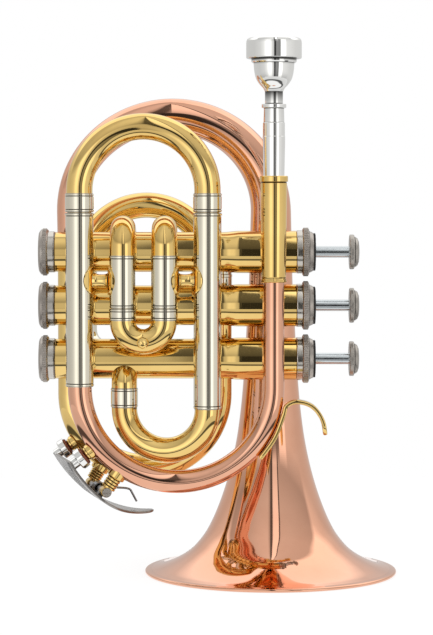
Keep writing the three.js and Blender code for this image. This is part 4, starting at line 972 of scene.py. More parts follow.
@dataclass
class Studio:
    """The camera of the photograph, a pale floor, soft lamps and a studio's panels."""

    camera_place: tuple[float, float, float] = (-1.8, -1100.0, 177.6)
    pitch_degrees: float = 2.66
    lens: float = 126.31
    floor_radius: float = 0.42
    floor_sides: int = 96
    # how bright the studio is round the instrument, from behind its left side round by the front
    around: Table = (
        (-180, 0.64), (-90, 0.62), (-60, 0.72), (-45, 0.9), (-30, 1.4), (-16, 1.3), (-8, 0.75), (-1, 0.6),
        (0, 0.03), (7, 0.05), (8, 0.3), (26, 0.24), (28, 1.5), (48, 1.4), (52, 0.86), (100, 0.7), (180, 0.66),
    )
    # the same above it
    overhead: Table = (
        (-180, 0.64), (-60, 0.7), (-30, 0.9), (-8, 0.95), (-3, 0.6), (-1.5, 0.14), (3, 0.16), (4.5, 1.5), (17, 1.5),
        (18, 0.12), (20, 0.12), (21, 0.88), (90, 0.8), (180, 0.66),
    )
    # how bright it is from straight down to straight up in front, as a factor on the former
    upwards: Table = (
        (-90, 0.5), (-45, 0.4), (-26, 0.75), (-12, 1.0), (12, 1.0), (20, 0.6), (30, 0.75), (48, 0.9), (90, 0.95),
    )
    # the same behind, where a pale wall stands
    behind: Table = (
        (-90, 0.5), (-12, 1.0), (12, 1.0), (24, 1.2), (34, 1.95), (78, 1.95), (82, 0.95), (90, 0.95),
    )
    # what gloss sees of the floor, by the distance from the middle in metres
    floor_gloss: Table = ((0.0, 1.0), (0.17, 1.0), (0.185, 0.1), (0.225, 0.1), (0.24, 0.72), (0.42, 0.8))

    def build(self) -> None:
        """Build the camera, the surroundings, the floor and the lamps."""
        self.camera()
        self.surroundings()
        self.floor()
        self.lamp("key", (-0.7, -0.8, 1.1), 0.9, 5.0)
        self.lamp("fill", (0.9, -0.6, 0.7), 0.7, 2.0)
        bpy.context.scene.view_settings.view_transform = "Standard"

    def camera(self) -> None:
        """Set up the camera where the photograph was taken."""
        data = bpy.data.cameras.new("camera")
        data.sensor_fit, data.sensor_height, data.lens = "VERTICAL", 36.0, self.lens
        data.clip_start, data.clip_end = 0.01, 20.0
        camera = bpy.data.objects.new("camera", data)
        camera.location = Vector(self.camera_place) * MM
        camera.rotation_euler = (math.radians(90 - self.pitch_degrees), 0.0, 0.0)
        bpy.context.scene.collection.objects.link(camera)
        bpy.context.scene.camera = camera

    def dial(self, board: Board, angle: Socket, table: Table) -> Socket:
        """Give a brightness from an angle.

        Args:
            board: the world's nodes.
            angle: in radians.
            table: pairs of degrees and brightness, of at most 2.

        Returns:
            Half the brightness.
        """
        first, last = table[0][0], table[-1][0]
        share = board.spread(angle, math.radians(first), math.radians(last))
        return board.ramp(share, [((degrees - first) / (last - first), level / 2) for degrees, level in table])

    def gloss(self, board: Board) -> Socket:
        """Tell the rays that metal and glass send."""
        rays = [board.add("LightPath", out=f"Is {kind} Ray") for kind in ("Glossy", "Transmission")]
        return board.math("MAXIMUM", *rays)

    def surroundings(self) -> None:
        """Build the world: white for the camera, panels for gloss and an even light for the rest."""
        world = bpy.data.worlds.new("studio")
        board = cleared(world)
        x, y, z = board.add("SeparateXYZ", {0: board.add("TexCoord", out="Generated")}).node.outputs
        turn = board.math("ARCTAN2", x, board.math("MULTIPLY", y, -1.0))
        lift = board.math("ARCSINE", z)
        height = board.mix(
            board.spread(y, 0.0, 0.12), self.dial(board, lift, self.upwards), self.dial(board, lift, self.behind),
        )
        around = board.mix(
            board.spread(lift, math.radians(14), math.radians(19)), self.dial(board, turn, self.around),
            self.dial(board, turn, self.overhead),
        )
        # both tables hold half the brightness, so the product has a quarter of it
        strength = board.math("MULTIPLY", board.math("MULTIPLY", around, height), 4.0)
        panels = board.add("Background", {"Color": (1.0, 0.995, 0.985, 1.0), "Strength": strength})
        even = board.add("Background", {"Color": WHITE, "Strength": 0.75})
        white = board.add("Background", {"Color": WHITE, "Strength": 1.0})
        lit = board.blend(self.gloss(board), even, panels)
        board.add("OutputWorld", {0: board.blend(board.add("LightPath", out="Is Camera Ray"), lit, white)})
        bpy.context.scene.world = world

    def floor(self) -> None:
        """Build the white floor, which keeps the instrument's shadow."""
        sides = range(self.floor_sides)
        rim = [
            spot(math.cos(turn), math.sin(turn), 0.0) * self.floor_radius - UP * 0.0002
            for turn in (FULL_TURN * k / self.floor_sides for k in sides)
        ]
        mesh = bpy.data.meshes.new("floor")
        mesh.from_pydata(rim, [], [tuple(sides)])
        material = bpy.data.materials.new("white_floor")
        board = cleared(material)
        distance = board.add("VectorMath", {0: board.add("TexCoord", out="Object")}, 1, operation="LENGTH")
        matt = board.add("BsdfDiffuse", {"Color": (0.82, 0.82, 0.82, 1.0)})
        pale = board.blend(0.76, matt, board.add("Emission", {"Color": WHITE, "Strength": 1.12}))
        paper = board.add("Emission", {0: board.ramp(distance, self.floor_gloss), "Strength": 1.0})
        lit = board.blend(self.gloss(board), matt, paper)
        shown = board.blend(board.add("LightPath", out="Is Camera Ray"), lit, pale)
        board.add("OutputMaterial", {"Surface": shown})
        mesh.materials.append(material)
        floor = bpy.data.objects.new("floor", mesh)
        bpy.context.scene.collection.objects.link(floor)

    def lamp(self, name: str, place: tuple[float, float, float], size: float, power: float) -> None:
        """Hang a soft lamp that points at the instrument.

        Args:
            name: of the lamp.
            place: where it hangs, in metres.
            size: its width and height, in metres.
            power: in watts.
        """
        data = bpy.data.lights.new(name, "AREA")
        data.shape = "RECTANGLE"
        data.size, data.size_y, data.energy = size, size, power
        lamp = bpy.data.objects.new(name, data)
        lamp.location = place
        lamp.rotation_euler = (UP * 0.12 - Vector(place)).to_track_quat("-Z", "Y").to_euler()
        lamp.visible_glossy = False
        bpy.context.scene.collection.objects.link(lamp)


@dataclass
class Part:
    """A sub-assembly, and how its pieces are put on the instrument."""

    shop: Workshop

    def put(
        self, name: str, mesh: bpy.types.Mesh, finish: Finish, node: str, body: Body = Body.INSTRUMENT,
        cuts: Sequence[tuple[float, float]] = (),
    ) -> bpy.types.Object:
        """Put a piece on its body in the place of a CAD node.

        Args:
            name: of the piece.
            mesh: the finished mesh.
            finish: what it is made of.
            node: the node that it stands for.
            body: what it rides on.
            cuts: heights and radii of the valves whose walls it ends in.

        Returns:
            The piece.
        """
        for height, radius in cuts:
            push_out(mesh, height, radius)
        mesh.materials.clear()
        mesh.materials.append(finish.material())
        paint_crease_shade(mesh)
        mesh.shade_smooth()
        mesh.set_sharp_from_angle(angle=math.radians(SHARP_DEGREES))
        piece = bpy.data.objects.new(name, mesh)
        bpy.context.scene.collection.objects.link(piece)
        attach(piece, body.value)
        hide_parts(node)
        LOG.info("%s: %d faces, on %s", name, len(mesh.polygons), body.value)
        return piece

    def tube(
        self, name: str, route: Route, rings: Profile, finish: Finish, node: str, sides: int = TUBE_SIDES,
        **more: object,
    ) -> None:
        """Put a tube along a route, with rings as pairs of distance and radius. The rest is as for put."""
        self.put(name, self.shop.tubes.tube(route, rings, finish, sides), finish, node, **more)

    def lathe(
        self, name: str, origin: Vector, axis: Vector, profile: Profile, finish: Finish, node: str,
        sides: int = TURNED_SIDES, loop: bool = True, **more: object,
    ) -> None:
        """Put a piece turned about an axis, a closed wall where it is a loop. The rest is as for put."""
        self.put(name, Shape().turned(origin, axis, profile, sides, loop).mesh(name), finish, node, **more)


@dataclass
class Bell(Part):
    """The bell with its stem and the bow over the top, one thin wall with a rolled rim."""

    rim_radius: float = 62.3
    bead: float = 0.9
    wall: float = 0.9
    stem_top: float = 146.0
    bow_rise: float = 47.3
    bow_top_radius: float = 8.35
    start_radius: float = 6.4
    narrow_leg: float = 17.0
    sides: int = 128
    flare: Table = (
        (130, 11.55), (115, 12.33), (100, 13.2), (90, 13.95), (80, 14.95), (70, 16.25), (62, 17.65), (55, 19.15),
        (48, 20.95), (42, 22.75), (36, 24.8), (30, 27.15), (25, 29.4), (20, 32.1), (16, 35.0), (12, 38.6),
        (9, 42.4), (6.5, 46.6), (4.5, 50.9), (3, 55.0), (2, 59.2),
    )

    def build(self) -> None:
        """Build the bell's wall."""
        left = spot(LAYOUT.tail_left_x, LAYOUT.tail_y, LAYOUT.bell_bow_z)
        foot = spot(LAYOUT.bell_x, 0.0, 0.0)
        route = Route(left - UP * self.narrow_leg, left)
        route.half_turn(foot + UP * LAYOUT.bell_bow_z, UP * self.bow_rise).to(foot)
        end = route.length
        arc_top = (self.narrow_leg + end - LAYOUT.bell_bow_z) / 2
        down = [
            (0.0, self.start_radius), (self.narrow_leg, self.start_radius + 0.3), (arc_top, self.bow_top_radius),
            (end - self.stem_top, LAYOUT.bell_stem_radius), *((end - z, radius) for z, radius in self.flare),
        ]
        outer = route.profile(smooth(down, 7))
        seat = self.rim_radius - self.bead
        bead = [
            (end - self.bead - self.bead * math.cos(turn), seat + self.bead * math.sin(turn))
            for turn in (math.pi * step / 8 for step in range(9))
        ]
        inner = [(distance, radius - self.wall) for distance, radius in outer]
        inner[-1] = (end - 1.3, seat - 2.0)
        loop = [*outer, *bead, (end, seat - 1.6), *inner[::-1]]
        mesh = Shape().swept(route, loop, BACK, self.sides).mesh("bell")
        self.put("polished_bell", mesh, ROSE_COPPER, "bell")


@dataclass
class BellTail(Part):
    """The loop behind the valves that leads into the bell, and its elbow into the first valve."""

    socket_radius: float = 7.4
    socket_length: float = 6.0
    top: float = 164.5
    right_top: float = 142.7
    ferrule_foot: float = 139.0
    ferrule_length: float = 9.0
    ferrule_radius: float = 6.67
    elbow_bend: float = 8.7
    elbow_wall_radius: float = 9.0

    def build(self) -> None:
        """Build the loop, and the elbow with its ferrule."""
        left = spot(LAYOUT.tail_left_x, LAYOUT.tail_y, LAYOUT.tail_bow_z)
        x, y, height, radius = LAYOUT.tail_right_x, LAYOUT.tail_y, LAYOUT.valve_z[0], LAYOUT.tail_tube_radius
        route = Route(spot(left.x, y, self.top), left)
        route.half_turn(spot(x, y, left.z), UP * -LAYOUT.tail_radius).to(spot(x, y, self.right_top))
        size, end = self.socket_radius, self.socket_length
        rings = rounded([
            (0.0, 6.9), (0.9, size - 0.1),
            *past(end, (-1.6, size - 0.1), (-1.5, size), (-0.2, size), (0, radius), (1, radius)),
            (route.length, radius),
        ], 0.3)
        self.tube("tail_loop", route, rings, LACQUERED_BRASS, "bell_tail")
        bend, size, end = self.elbow_bend, self.ferrule_radius, self.ferrule_length
        route = Route(spot(x, y, self.ferrule_foot), spot(x, y, height - bend)).arc(-bend, 90, 20)
        route.to(spot(x, y - bend - 1.6, height))
        rings = rounded([
            (0.0, 6.4), (0.01, size), (1.1, size), (1.2, size - 0.14),
            *past(end, (-1.3, size - 0.14), (-1.2, size), (0, size), (0.01, radius)), (route.length, radius),
        ], 0.12)
        cuts = [(height, self.elbow_wall_radius)]
        self.tube("tail_elbow_tube", route, rings, NICKEL_SILVER, "tail_elbow", cuts=cuts)


@dataclass
class Leadpipe(Part):
    """The rose-copper leadpipe, its receiver and the pinky hook on its bow."""

    radius: float = 5.0
    top: float = 166.0
    left_top: float = 99.5
    receiver_foot: float = 145.1
    hook_width: float = 8.0
    hook_thickness: float = 2.0
    hook_foot_degrees: tuple[float, float, float] = (41.0, 27.5, 14.0)
    hook_path: Table = ((6, -9), (9.8, -7), (14, -7.3), (18, -8.9), (21.1, -11.9), (23.6, -16.6), (24.7, -22.8))

    def build(self) -> None:
        """Build the pipe, the receiver and the hook."""
        x, y, height = LAYOUT.leadpipe_x, LAYOUT.front_y, LAYOUT.leadpipe_bow_z
        route = Route(spot(x, y, self.top), spot(x, y, height))
        route.half_turn(spot(LAYOUT.left_x, y, height), UP * -LAYOUT.leadpipe_bow_drop)
        route.to(spot(LAYOUT.left_x, y, self.left_top))
        end = LAYOUT.leadpipe_end_radius
        rings = [(0.0, self.radius), ((self.top - height) / 2, self.radius), *past(route.length, (-4, end), (0, end))]
        self.tube("leadpipe_tube", route, rings, ROSE_COPPER, "leadpipe")
        self.receiver()
        self.hook()

    def receiver(self) -> None:
        """Build the receiver, open at the top for the mouthpiece's shank."""
        foot, top = self.receiver_foot, LAYOUT.receiver_top
        outside = past(
            foot, (0, 5.0), (0, 5.75), (0.25, 6.05), (0.75, 6.2), (1.25, 6.05), (1.5, 5.8), (2.2, 5.62), (2.6, 5.85),
        ) + past(top, (-3.4, 6.3), (-3.3, 6.12), (-2.8, 6.12), (-2.7, 6.75), (-0.25, 6.75), (0, 6.5))
        inside = past(top, (0, 5.15), (-24, 4.75), (-29, 4.7), (-29.3, 5.0))
        origin = spot(LAYOUT.leadpipe_x, LAYOUT.front_y, 0.0)
        profile = rounded(outside, 0.18) + inside
        self.lathe("receiver_sleeve", origin, UP, profile, LACQUERED_BRASS, "mouthpiece_receiver")

    def hook(self) -> None:
        """Build the flat hook, whose foot follows the leadpipe's bow."""
        thick = self.hook_thickness / 2
        wide, deep = (size + self.radius + 0.55 + thick for size in (LAYOUT.bow_half, LAYOUT.leadpipe_bow_drop))
        path = [
            (LAYOUT.bow_centre_x + wide * math.cos(turn), LAYOUT.leadpipe_bow_z - deep * math.sin(turn))
            for turn in map(math.radians, self.hook_foot_degrees)
        ]
        path += [(LAYOUT.leadpipe_x + out, LAYOUT.leadpipe_bow_z + up) for out, up in self.hook_path]
        middle = smooth(path, 6)
        rings = []
        for i, (x, z) in enumerate(middle):
            back, ahead = middle[max(0, i - 1)], middle[min(len(middle) - 1, i + 1)]
            out = spot(ahead[1] - back[1], 0.0, back[0] - ahead[0]).normalized() * thick
            share = i / (len(middle) - 1)
            half = self.hook_width / 2 - 0.5 * math.sin(math.pi * min(1.0, share * 1.2))
            end = max(0.0, share - 0.92) / 0.08
            across = BACK * (half * math.sqrt(max(0.15, 1 - end * end * 0.85)))
            centre = spot(x, LAYOUT.front_y, z)
            rings.append([centre + out * a + across * b for a, b in ((-1, -1), (1, -1), (1, 1), (-1, 1))])
        mesh = bevelled(Shape().rings(rings).mesh("hook"), 0.55)
        self.put("little_finger_hook", mesh, LACQUERED_BRASS, "pinky_hook")


@dataclass
class Mouthpiece(Part):
    """The silver mouthpiece with its cup, throat and stepped shank."""

    top: float = 260.8
    cup_top: float = 249.1
    cup_foot: float = 235.4
    cup_radius: float = 9.7
    shank_foot: float = 171.6
    cup_shares: Table = ((0.03, 0.995), (0.28, 0.965), (0.55, 0.875), (0.75, 0.7), (0.88, 0.53), (1.0, 0.445))

    def build(self) -> None:
        """Build the mouthpiece."""
        rim = past(
            self.top, (-1.9, 8.35), (-0.9, 8.7), (-0.25, 9.5), (0, 10.6), (-0.12, 11.7), (-0.6, 12.6), (-1.5, 13.05),
            (-2.6, 13.15), (-9.3, 13.15), (-9.7, 12.9), (-9.7, 11.0), (-10.2, 10.7), (-11.2, 10.75), (-11.7, 10.3),
            (-11.7, 9.75),
        )
        height = self.cup_top - self.cup_foot
        cup = smooth([(self.cup_top - height * drop, self.cup_radius * size) for drop, size in self.cup_shares], 6)
        neck = rounded([
            (self.cup_foot - 0.01, 4.3), *past(
                self.top, (-31.0, 4.25), (-31.3, 5.85), (-32.9, 5.85), (-33.2, 4.8), (-39.9, 4.95), (-40.1, 5.2),
                (-46.4, 5.22), (-46.6, 5.32), (-50, 5.3),
            ), (LAYOUT.receiver_top + 0.3, 5.0), (self.shank_foot, 4.4), (self.shank_foot, 3.6),
        ], 0.2)
        bore = smooth(past(self.top, (-24, 1.9), (-19.5, 3.1), (-15, 5.4), (-8, 7.4), (-2.6, 8.25)), 6)
        self.lathe(
            "silver_mouthpiece", spot(LAYOUT.leadpipe_x, LAYOUT.front_y, 0.0), UP,
            [*rim, *cup, *neck, *past(self.top, (-40, 2.4)), *bore], SILVER_PLATE, "mouthpiece", 96,
            body=Body.MOUTHPIECE,
        )


@dataclass
class Crook(Part):
    """A slide crook with its legs, and a nickel ferrule on each leg. Its places are along an axis."""

    name: str
    node: str
    body: Body
    legs: tuple[Vector, Vector]
    leg_end: float
    turn: float
    rise: float
    ferrules: tuple[float, float]
    ferrule_radius: float
    leg_radius: float = LAYOUT.leg_radius
    radius: float = LAYOUT.crook_radius
    axis: Vector = field(default_factory=UP.copy)

    def build(self) -> None:
        """Build the crook and its ferrules."""
        (left, right), axis, leg = self.legs, self.axis, self.leg_radius
        route = Route(left + axis * self.leg_end, left + axis * self.turn)
        route.half_turn(right + axis * self.turn, axis * self.rise).to(right + axis * self.leg_end)
        reach = abs(self.ferrules[1] - self.leg_end)
        rings = [
            (0.0, leg), (reach - 0.5, leg), (reach - 0.4, self.radius),
            *past(route.length, (0.4 - reach, self.radius), (0.5 - reach, leg), (0, leg)),
        ]
        self.tube(self.name, route, rings, LACQUERED_BRASS, self.node, body=self.body)
        span = self.ferrules[1] - self.ferrules[0]
        ring = sleeve(0.0, abs(span), leg - 0.1, self.ferrule_radius - 0.05, (0.05, 0.05))
        shape = Shape()
        for foot in self.legs:
            shape.turned(foot + axis * self.ferrules[0], axis * span, ring, loop=True)
        name = f"{self.name}_ferrules"
        self.put(name, shape.mesh(name), NICKEL_SILVER, self.node, self.body)


@dataclass
class MainSlide(Part):
    """The main tuning slide: two nickel tubes, the brass crook and its nickel ferrules."""

    left_foot: float = 95.5
    right_foot: float = 84.8
    crook_z: float = 188.7
    leg_depth: float = 46.0
    bore: float = 6.1

    def build(self) -> None:
        """Build the tubes and the crook."""
        top = LAYOUT.main_tube_top
        left, right = (spot(x, LAYOUT.front_y, 0.0) for x in (LAYOUT.left_x, LAYOUT.right_x))
        for side, origin, foot in (("left", left, self.left_foot), ("right", right, self.right_foot)):
            profile = sleeve(foot, top, self.bore, LAYOUT.main_radius, (0.1, 0.3), (1.3, 1.2))
            self.lathe(f"main_tube_{side}", origin, UP, profile, NICKEL_SILVER, f"tuning_slide_tube_{side}")
        Crook(
            self.shop, "main_crook", "tuning_slide_crook", Body.TUNING_SLIDE, (left, right), top - self.leg_depth,
            self.crook_z, (right.x - left.x) / 2, (top + 0.3, 187.4), 6.85,
        ).build()


@dataclass
class Feed(Part):
    """The small bow from the tuning slide, its ferrule and the elbow into the third valve."""

    left_x: float = -46.1
    foot: float = 84.8
    ferrule_top: float = 94.2
    ferrule_radius: float = 6.55
    radius: float = 6.13
    spigot: float = 3.5
    bend: float = 8.0
    sweep_degrees: float = 40.0
    reach: float = 2.6
    elbow_wall_radius: float = 9.0

    def build(self) -> None:
        """Build the bow, the ferrule and the elbow."""
        leg, up = LAYOUT.leg_radius, UP * self.spigot
        right = spot(LAYOUT.right_x, LAYOUT.front_y, self.foot - 0.3)
        left = spot(self.left_x, LAYOUT.feed_y, self.foot - 0.3)
        route = Route(right + up, right).half_turn(left, UP * ((left.x - right.x) / 2)).to(left + up)
        start = [(0.0, leg), (3.2, leg), (3.3, self.radius)]
        rings = [*start, *past(route.length, (-3.3, self.radius), (-3.2, leg), (0, leg))]
        self.tube("feed_bow_tube", route, rings, LACQUERED_BRASS, "feed_bow")
        profile = sleeve(self.foot, self.ferrule_top, 5.9, self.ferrule_radius - 0.05, (0.05, 0.05))
        origin = spot(self.left_x, LAYOUT.feed_y, 0.0)
        self.lathe("feed_ferrule_sleeve", origin, UP, profile, NICKEL_SILVER, "feed_ferrule")
        foot, sweep = origin + UP * (self.ferrule_top + 0.3), math.radians(self.sweep_degrees)
        route = Route(foot - up, foot).arc(self.bend, self.sweep_degrees, 16)
        route.to(route.points[-1] + (BACK * math.sin(sweep) + UP * math.cos(sweep)) * self.reach)
        cuts = [(LAYOUT.valve_z[2], self.elbow_wall_radius)]
        rings = [*start, (route.length, self.radius)]
        self.tube("feed_elbow_tube", route, rings, LACQUERED_BRASS, "feed_elbow", cuts=cuts)


@dataclass
class Valve(Part):
    """One valve: casing, caps, felt, piston, finger button and spring."""

    number: int
    casing_radius: float = 9.6
    upper_radius: float = 10.2
    bore: float = 8.5
    thread_radius: float = 9.1
    bottom_x: float = -79.4
    top_x: float = 36.7
    cap_end_x: float = -87.3
    disc_x: float = -82.7
    ring_x: float = 39.7
    cap_bore: float = 3.05
    ribs: int = 66
    felt_seed: int = 11
    spring_ends: tuple[float, float] = (-85.1, -54.8)

    def __post_init__(self) -> None:
        """Work out the valve's axis and the body of its piston."""
        self.origin = spot(0.0, LAYOUT.valve_y, LAYOUT.valve_z[self.number - 1])
        self.body = (Body.VALVE_1, Body.VALVE_2, Body.VALVE_3)[self.number - 1]

    def turn(
        self, name: str, profile: Profile, finish: Finish, node: str, sides: int = TURNED_SIDES, **more: object,
    ) -> None:
        """Put a piece turned about the valve's axis, with the valve's number on its names."""
        name, node = f"{name}_{self.number}", f"{node}_{self.number}"
        self.lathe(name, self.origin, RIGHT, profile, finish, node, sides, **more)

    def knurled(
        self, name: str, profile: Profile, node: str, circle: float, rib: tuple[float, float], place: float,
    ) -> None:
        """Put a knurled cap.

        Args:
            name: of the piece, without the valve's number.
            profile: its wall.
            node: what it stands for, without the number.
            circle: radius on which the ribs stand.
            rib: radius and length of a rib.
            place: the ribs' middle.
        """
        mesh = self.shop.knurls.run(
            Shape().turned(self.origin, RIGHT, profile, 96, True).mesh(name), DULL_NICKEL, Ribs=self.ribs,
            Circle=circle * MM, Rib_Radius=rib[0] * MM, Rib_Length=rib[1] * MM,
            Place=(self.origin + RIGHT * place) * MM,
        )
        self.put(f"{name}_{self.number}", mesh, DULL_NICKEL, f"{node}_{self.number}")

    def build(self) -> None:
        """Build the valve's pieces."""
        self.casing()
        self.caps()
        self.felt()
        self.button()
        self.spring()
        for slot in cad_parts[f"piston_{self.number}"].material_slots:
            slot.material = NICKEL_SILVER.material()

    def casing(self) -> None:
        """Build the casing with its gentle shoulder and threaded ends."""
        low, high, thread = self.casing_radius, self.upper_radius, self.thread_radius
        profile = [
            *past(
                self.bottom_x, (-2.6, self.bore), (-2.6, thread), (0, thread), (0, low - 0.12), (0.15, low),
            ), *smooth([(0.2, low), (2.7, low + 0.04), (5.3, (low + high) / 2), (8.0, high - 0.04), (10.5, high)]),
            *past(self.top_x, (-0.15, high), (0, high - 0.15), (0, thread), (2.6, thread), (2.6, self.bore)),
        ]
        self.turn("casing", profile, LACQUERED_BRASS, "valve_casing", 96)

    def caps(self) -> None:
        """Build the knurled caps, each with its bright skirt."""
        end, disc, skirt = self.cap_end_x, self.disc_x, self.bottom_x - 0.3
        cap = past(
            end, (0, 2.0), (0, 7.6), (0.35, 8.0), (0.35, 8.5), (0, 8.9), (0, 9.4), (0.9, 10.75), (1.9, 11.1),
        ) + past(disc, (-0.9, 11.1), (-0.2, 10.6), (0, 9.8), (0, 8.1)) + past(end, (1.4, 8.1), (1.4, 2.0))
        self.knurled("bottom_cap_disc", wall(0.4, *cap), "bottom_cap", 11.08, (0.3, 1.9), end + 2.75)
        band = past(disc - 0.1, (0, 9.3), (0, 9.9)) + past(skirt, (-0.45, 9.9), (-0.4, 9.75), (0, 9.75), (0, 9.3))
        self.turn("bottom_cap_skirt", wall(0.1, *band), BAND_NICKEL, "bottom_cap")
        ring, skirt = self.ring_x, self.top_x + 0.2
        cap = past(
            ring, (0, 8.9), (0, 11.1), (0.4, 11.45), (2.7, 11.45), (3.1, 11.0), (3.2, 10.15), (4.7, 9.45),
            (5.2, 9.1), (5.2, self.cap_bore), (3.0, self.cap_bore), (3.0, 8.2), (0.1, 8.2),
        )
        self.knurled("top_cap_ring", wall(0.25, *cap), "top_cap", 11.42, (0.32, 2.3), ring + 1.55)
        band = past(skirt, (0, 9.4), (0, 10.35), (0.3, 10.4)) + past(ring, (-0.1, 10.4), (0, 10.2), (0, 9.4))
        self.turn("top_cap_skirt", wall(0.1, *band), BAND_NICKEL, "top_cap")

    def felt(self) -> None:
        """Build the worn felt washer, whose edge is ragged."""
        dice = random.Random(self.felt_seed + self.number)
        nicks = [(dice.uniform(0, FULL_TURN), dice.uniform(0.05, 0.16), dice.uniform(0.03, 0.09)) for _ in range(9)]

        def ragged(angle: float, _along: float, radius: float) -> float:
            """Nick the outer edge.

            Args:
                angle: round the washer.
                _along: not used.
                radius: of the point.

            Returns:
                The factor on the radius.
            """
            if radius < 8:
                return 1.0
            away = [abs((angle - middle + math.pi) % FULL_TURN - math.pi) / width for middle, width, _ in nicks]
            cut = max(depth * max(0.0, 1 - share**2) for share, (_, _, depth) in zip(away, nicks))
            return 1.0 - cut - 0.006 * math.sin(23 * angle) ** 2

        edge = past(self.ring_x + 5.25, (0, self.cap_bore), (0, 9.1), (0.95, 9.05), (0.95, self.cap_bore))
        mesh = Shape().turned(self.origin, RIGHT, wall(0.3, *edge), 160, True, ragged).mesh("felt")
        self.put(f"felt_washer_{self.number}", mesh, FELT, f"cap_felt_{self.number}")

    def button(self) -> None:
        """Build the stem and the finger button on it."""
        stem = [(37.7, 0.0), (37.7, 2.0), (42.7, 2.0), (42.75, 2.75), (62.5, 2.75), (62.5, 0.0)]
        dome = rounded([
            (62.4, 0.0), (62.4, 8.1), (62.65, 8.4), (64.2, 8.4), (64.6, 8.1), (64.75, 7.35), (65.2, 7.25),
            (66.2, 6.6), (66.85, 5.0), (67.08, 2.5), (67.1, 0.0),
        ], 0.35)
        self.turn("stem", stem, STEM_STEEL, "finger_button", 40, loop=False, body=self.body)
        self.turn("button", dome, BUTTON_STEEL, "finger_button", 80, loop=False, body=self.body)

    def spring(self) -> None:
        """Build the spring under the piston."""
        start, end = self.spring_ends
        mesh = self.shop.coils.run(
            bpy.data.meshes.new("spring"), SPRING_STEEL, Turns=8.0, Radius=6.2 * MM, Length=(end - start) * MM,
            Wire=0.5 * MM, Place=(self.origin + RIGHT * start) * MM,
        )
        piece = self.put(f"return_spring_{self.number}", mesh, SPRING_STEEL, f"valve_spring_{self.number}")
        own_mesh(piece)


@dataclass
class Knuckles(Part):
    """The short tubes that join the casings."""

    x: float = -5.9
    radius: float = 6.2
    inset: float = 6.5

    def build(self) -> None:
        """Build both knuckles."""
        upper, middle, lower = LAYOUT.valve_z
        for name, node, top, foot, finish in (
            ("upper_knuckle", "knuckle_1_2", upper, middle, NICKEL_SILVER),
            ("lower_knuckle", "knuckle_2_3", middle, lower, LACQUERED_BRASS),
        ):
            height, radius = top - foot - 2 * self.inset, self.radius
            profile = [(0.0, 0.0), (0.0, radius / 2), (0.0, radius), (height / 2, radius)]
            profile += [(height, radius), (height, radius / 2), (height, 0.0)]
            origin = spot(self.x, LAYOUT.valve_y, foot + self.inset)
            cuts = [(top, WALL_RADIUS), (foot, WALL_RADIUS)]
            self.lathe(name, origin, UP, profile, finish, node, loop=False, cuts=cuts)


@dataclass
class FirstSlide(Part):
    """The first valve's slide in front: goosenecks, nickel tubes, crook and pull knob."""

    tube_foot: float = 133.0
    tube_top: float = 158.0
    neck_bend: float = 9.5067
    neck_z: float = 161.3
    sweep_degrees: float = 147.0
    crook_z: float = 126.9
    knob_radius: float = 2.85

    def build(self) -> None:
        """Build the tubes, goosenecks, crook and knob."""
        half, y, foot, top = LAYOUT.first_half_pitch, LAYOUT.first_y, self.tube_foot, self.tube_top
        neck = LAYOUT.small_crook_radius
        legs = tuple(spot(LAYOUT.slide_x + way * half, y, 0.0) for way in (-1, 1))
        profile = sleeve(foot, top, LAYOUT.small_bore, LAYOUT.first_tube_radius, (0.12, 0.3), (1.1, 1.3))
        for side, leg in zip(("left", "right"), legs):
            self.lathe(f"first_tube_{side}", leg, UP, profile, NICKEL_SILVER, f"first_slide_tube_{side}")
            route = Route(leg + UP * (top - 0.6), leg + UP * self.neck_z)
            route.arc(self.neck_bend, self.sweep_degrees, 44)
            self.tube(
                f"gooseneck_{side}", route, [(0.0, neck), (route.length, neck)], LACQUERED_BRASS,
                f"first_gooseneck_{side}", cuts=[(LAYOUT.valve_z[0], WALL_RADIUS)],
            )
        Crook(
            self.shop, "first_crook", "first_slide_crook", Body.FIRST_SLIDE, legs, foot + 21, self.crook_z, -half,
            (foot - 0.2, self.crook_z + 0.2), 6.5, LAYOUT.small_leg, neck,
        ).build()
        self.knob()

    def knob(self) -> None:
        """Build the fluted knob on the front of the crook."""
        def fluted(angle: float, along: float, _radius: float) -> float:
            """Return the factor that flutes the knob."""
            return 1.0 - 0.1 * abs(math.sin(4 * angle)) if along > 1.4 else 1.0

        size = self.knob_radius
        profile = [
            (0.0, 0.0), (0.0, 2.9), (0.5, 2.3), (1.0, 1.6), (1.5, 1.7), (2.1, 2.4), (2.9, size), (4.8, size),
            (5.6, size * 0.86), (6.2, size * 0.55), (6.5, size * 0.2), (6.55, 0.0),
        ]
        y = LAYOUT.first_y - LAYOUT.small_crook_radius + 0.6
        origin = spot(LAYOUT.slide_x, y, self.crook_z - LAYOUT.first_half_pitch)
        mesh = Shape().turned(origin, -BACK, profile, 96, lobes=fluted).mesh("knob")
        self.put("pull_knob", mesh, LACQUERED_BRASS, "first_slide_knob", Body.FIRST_SLIDE)


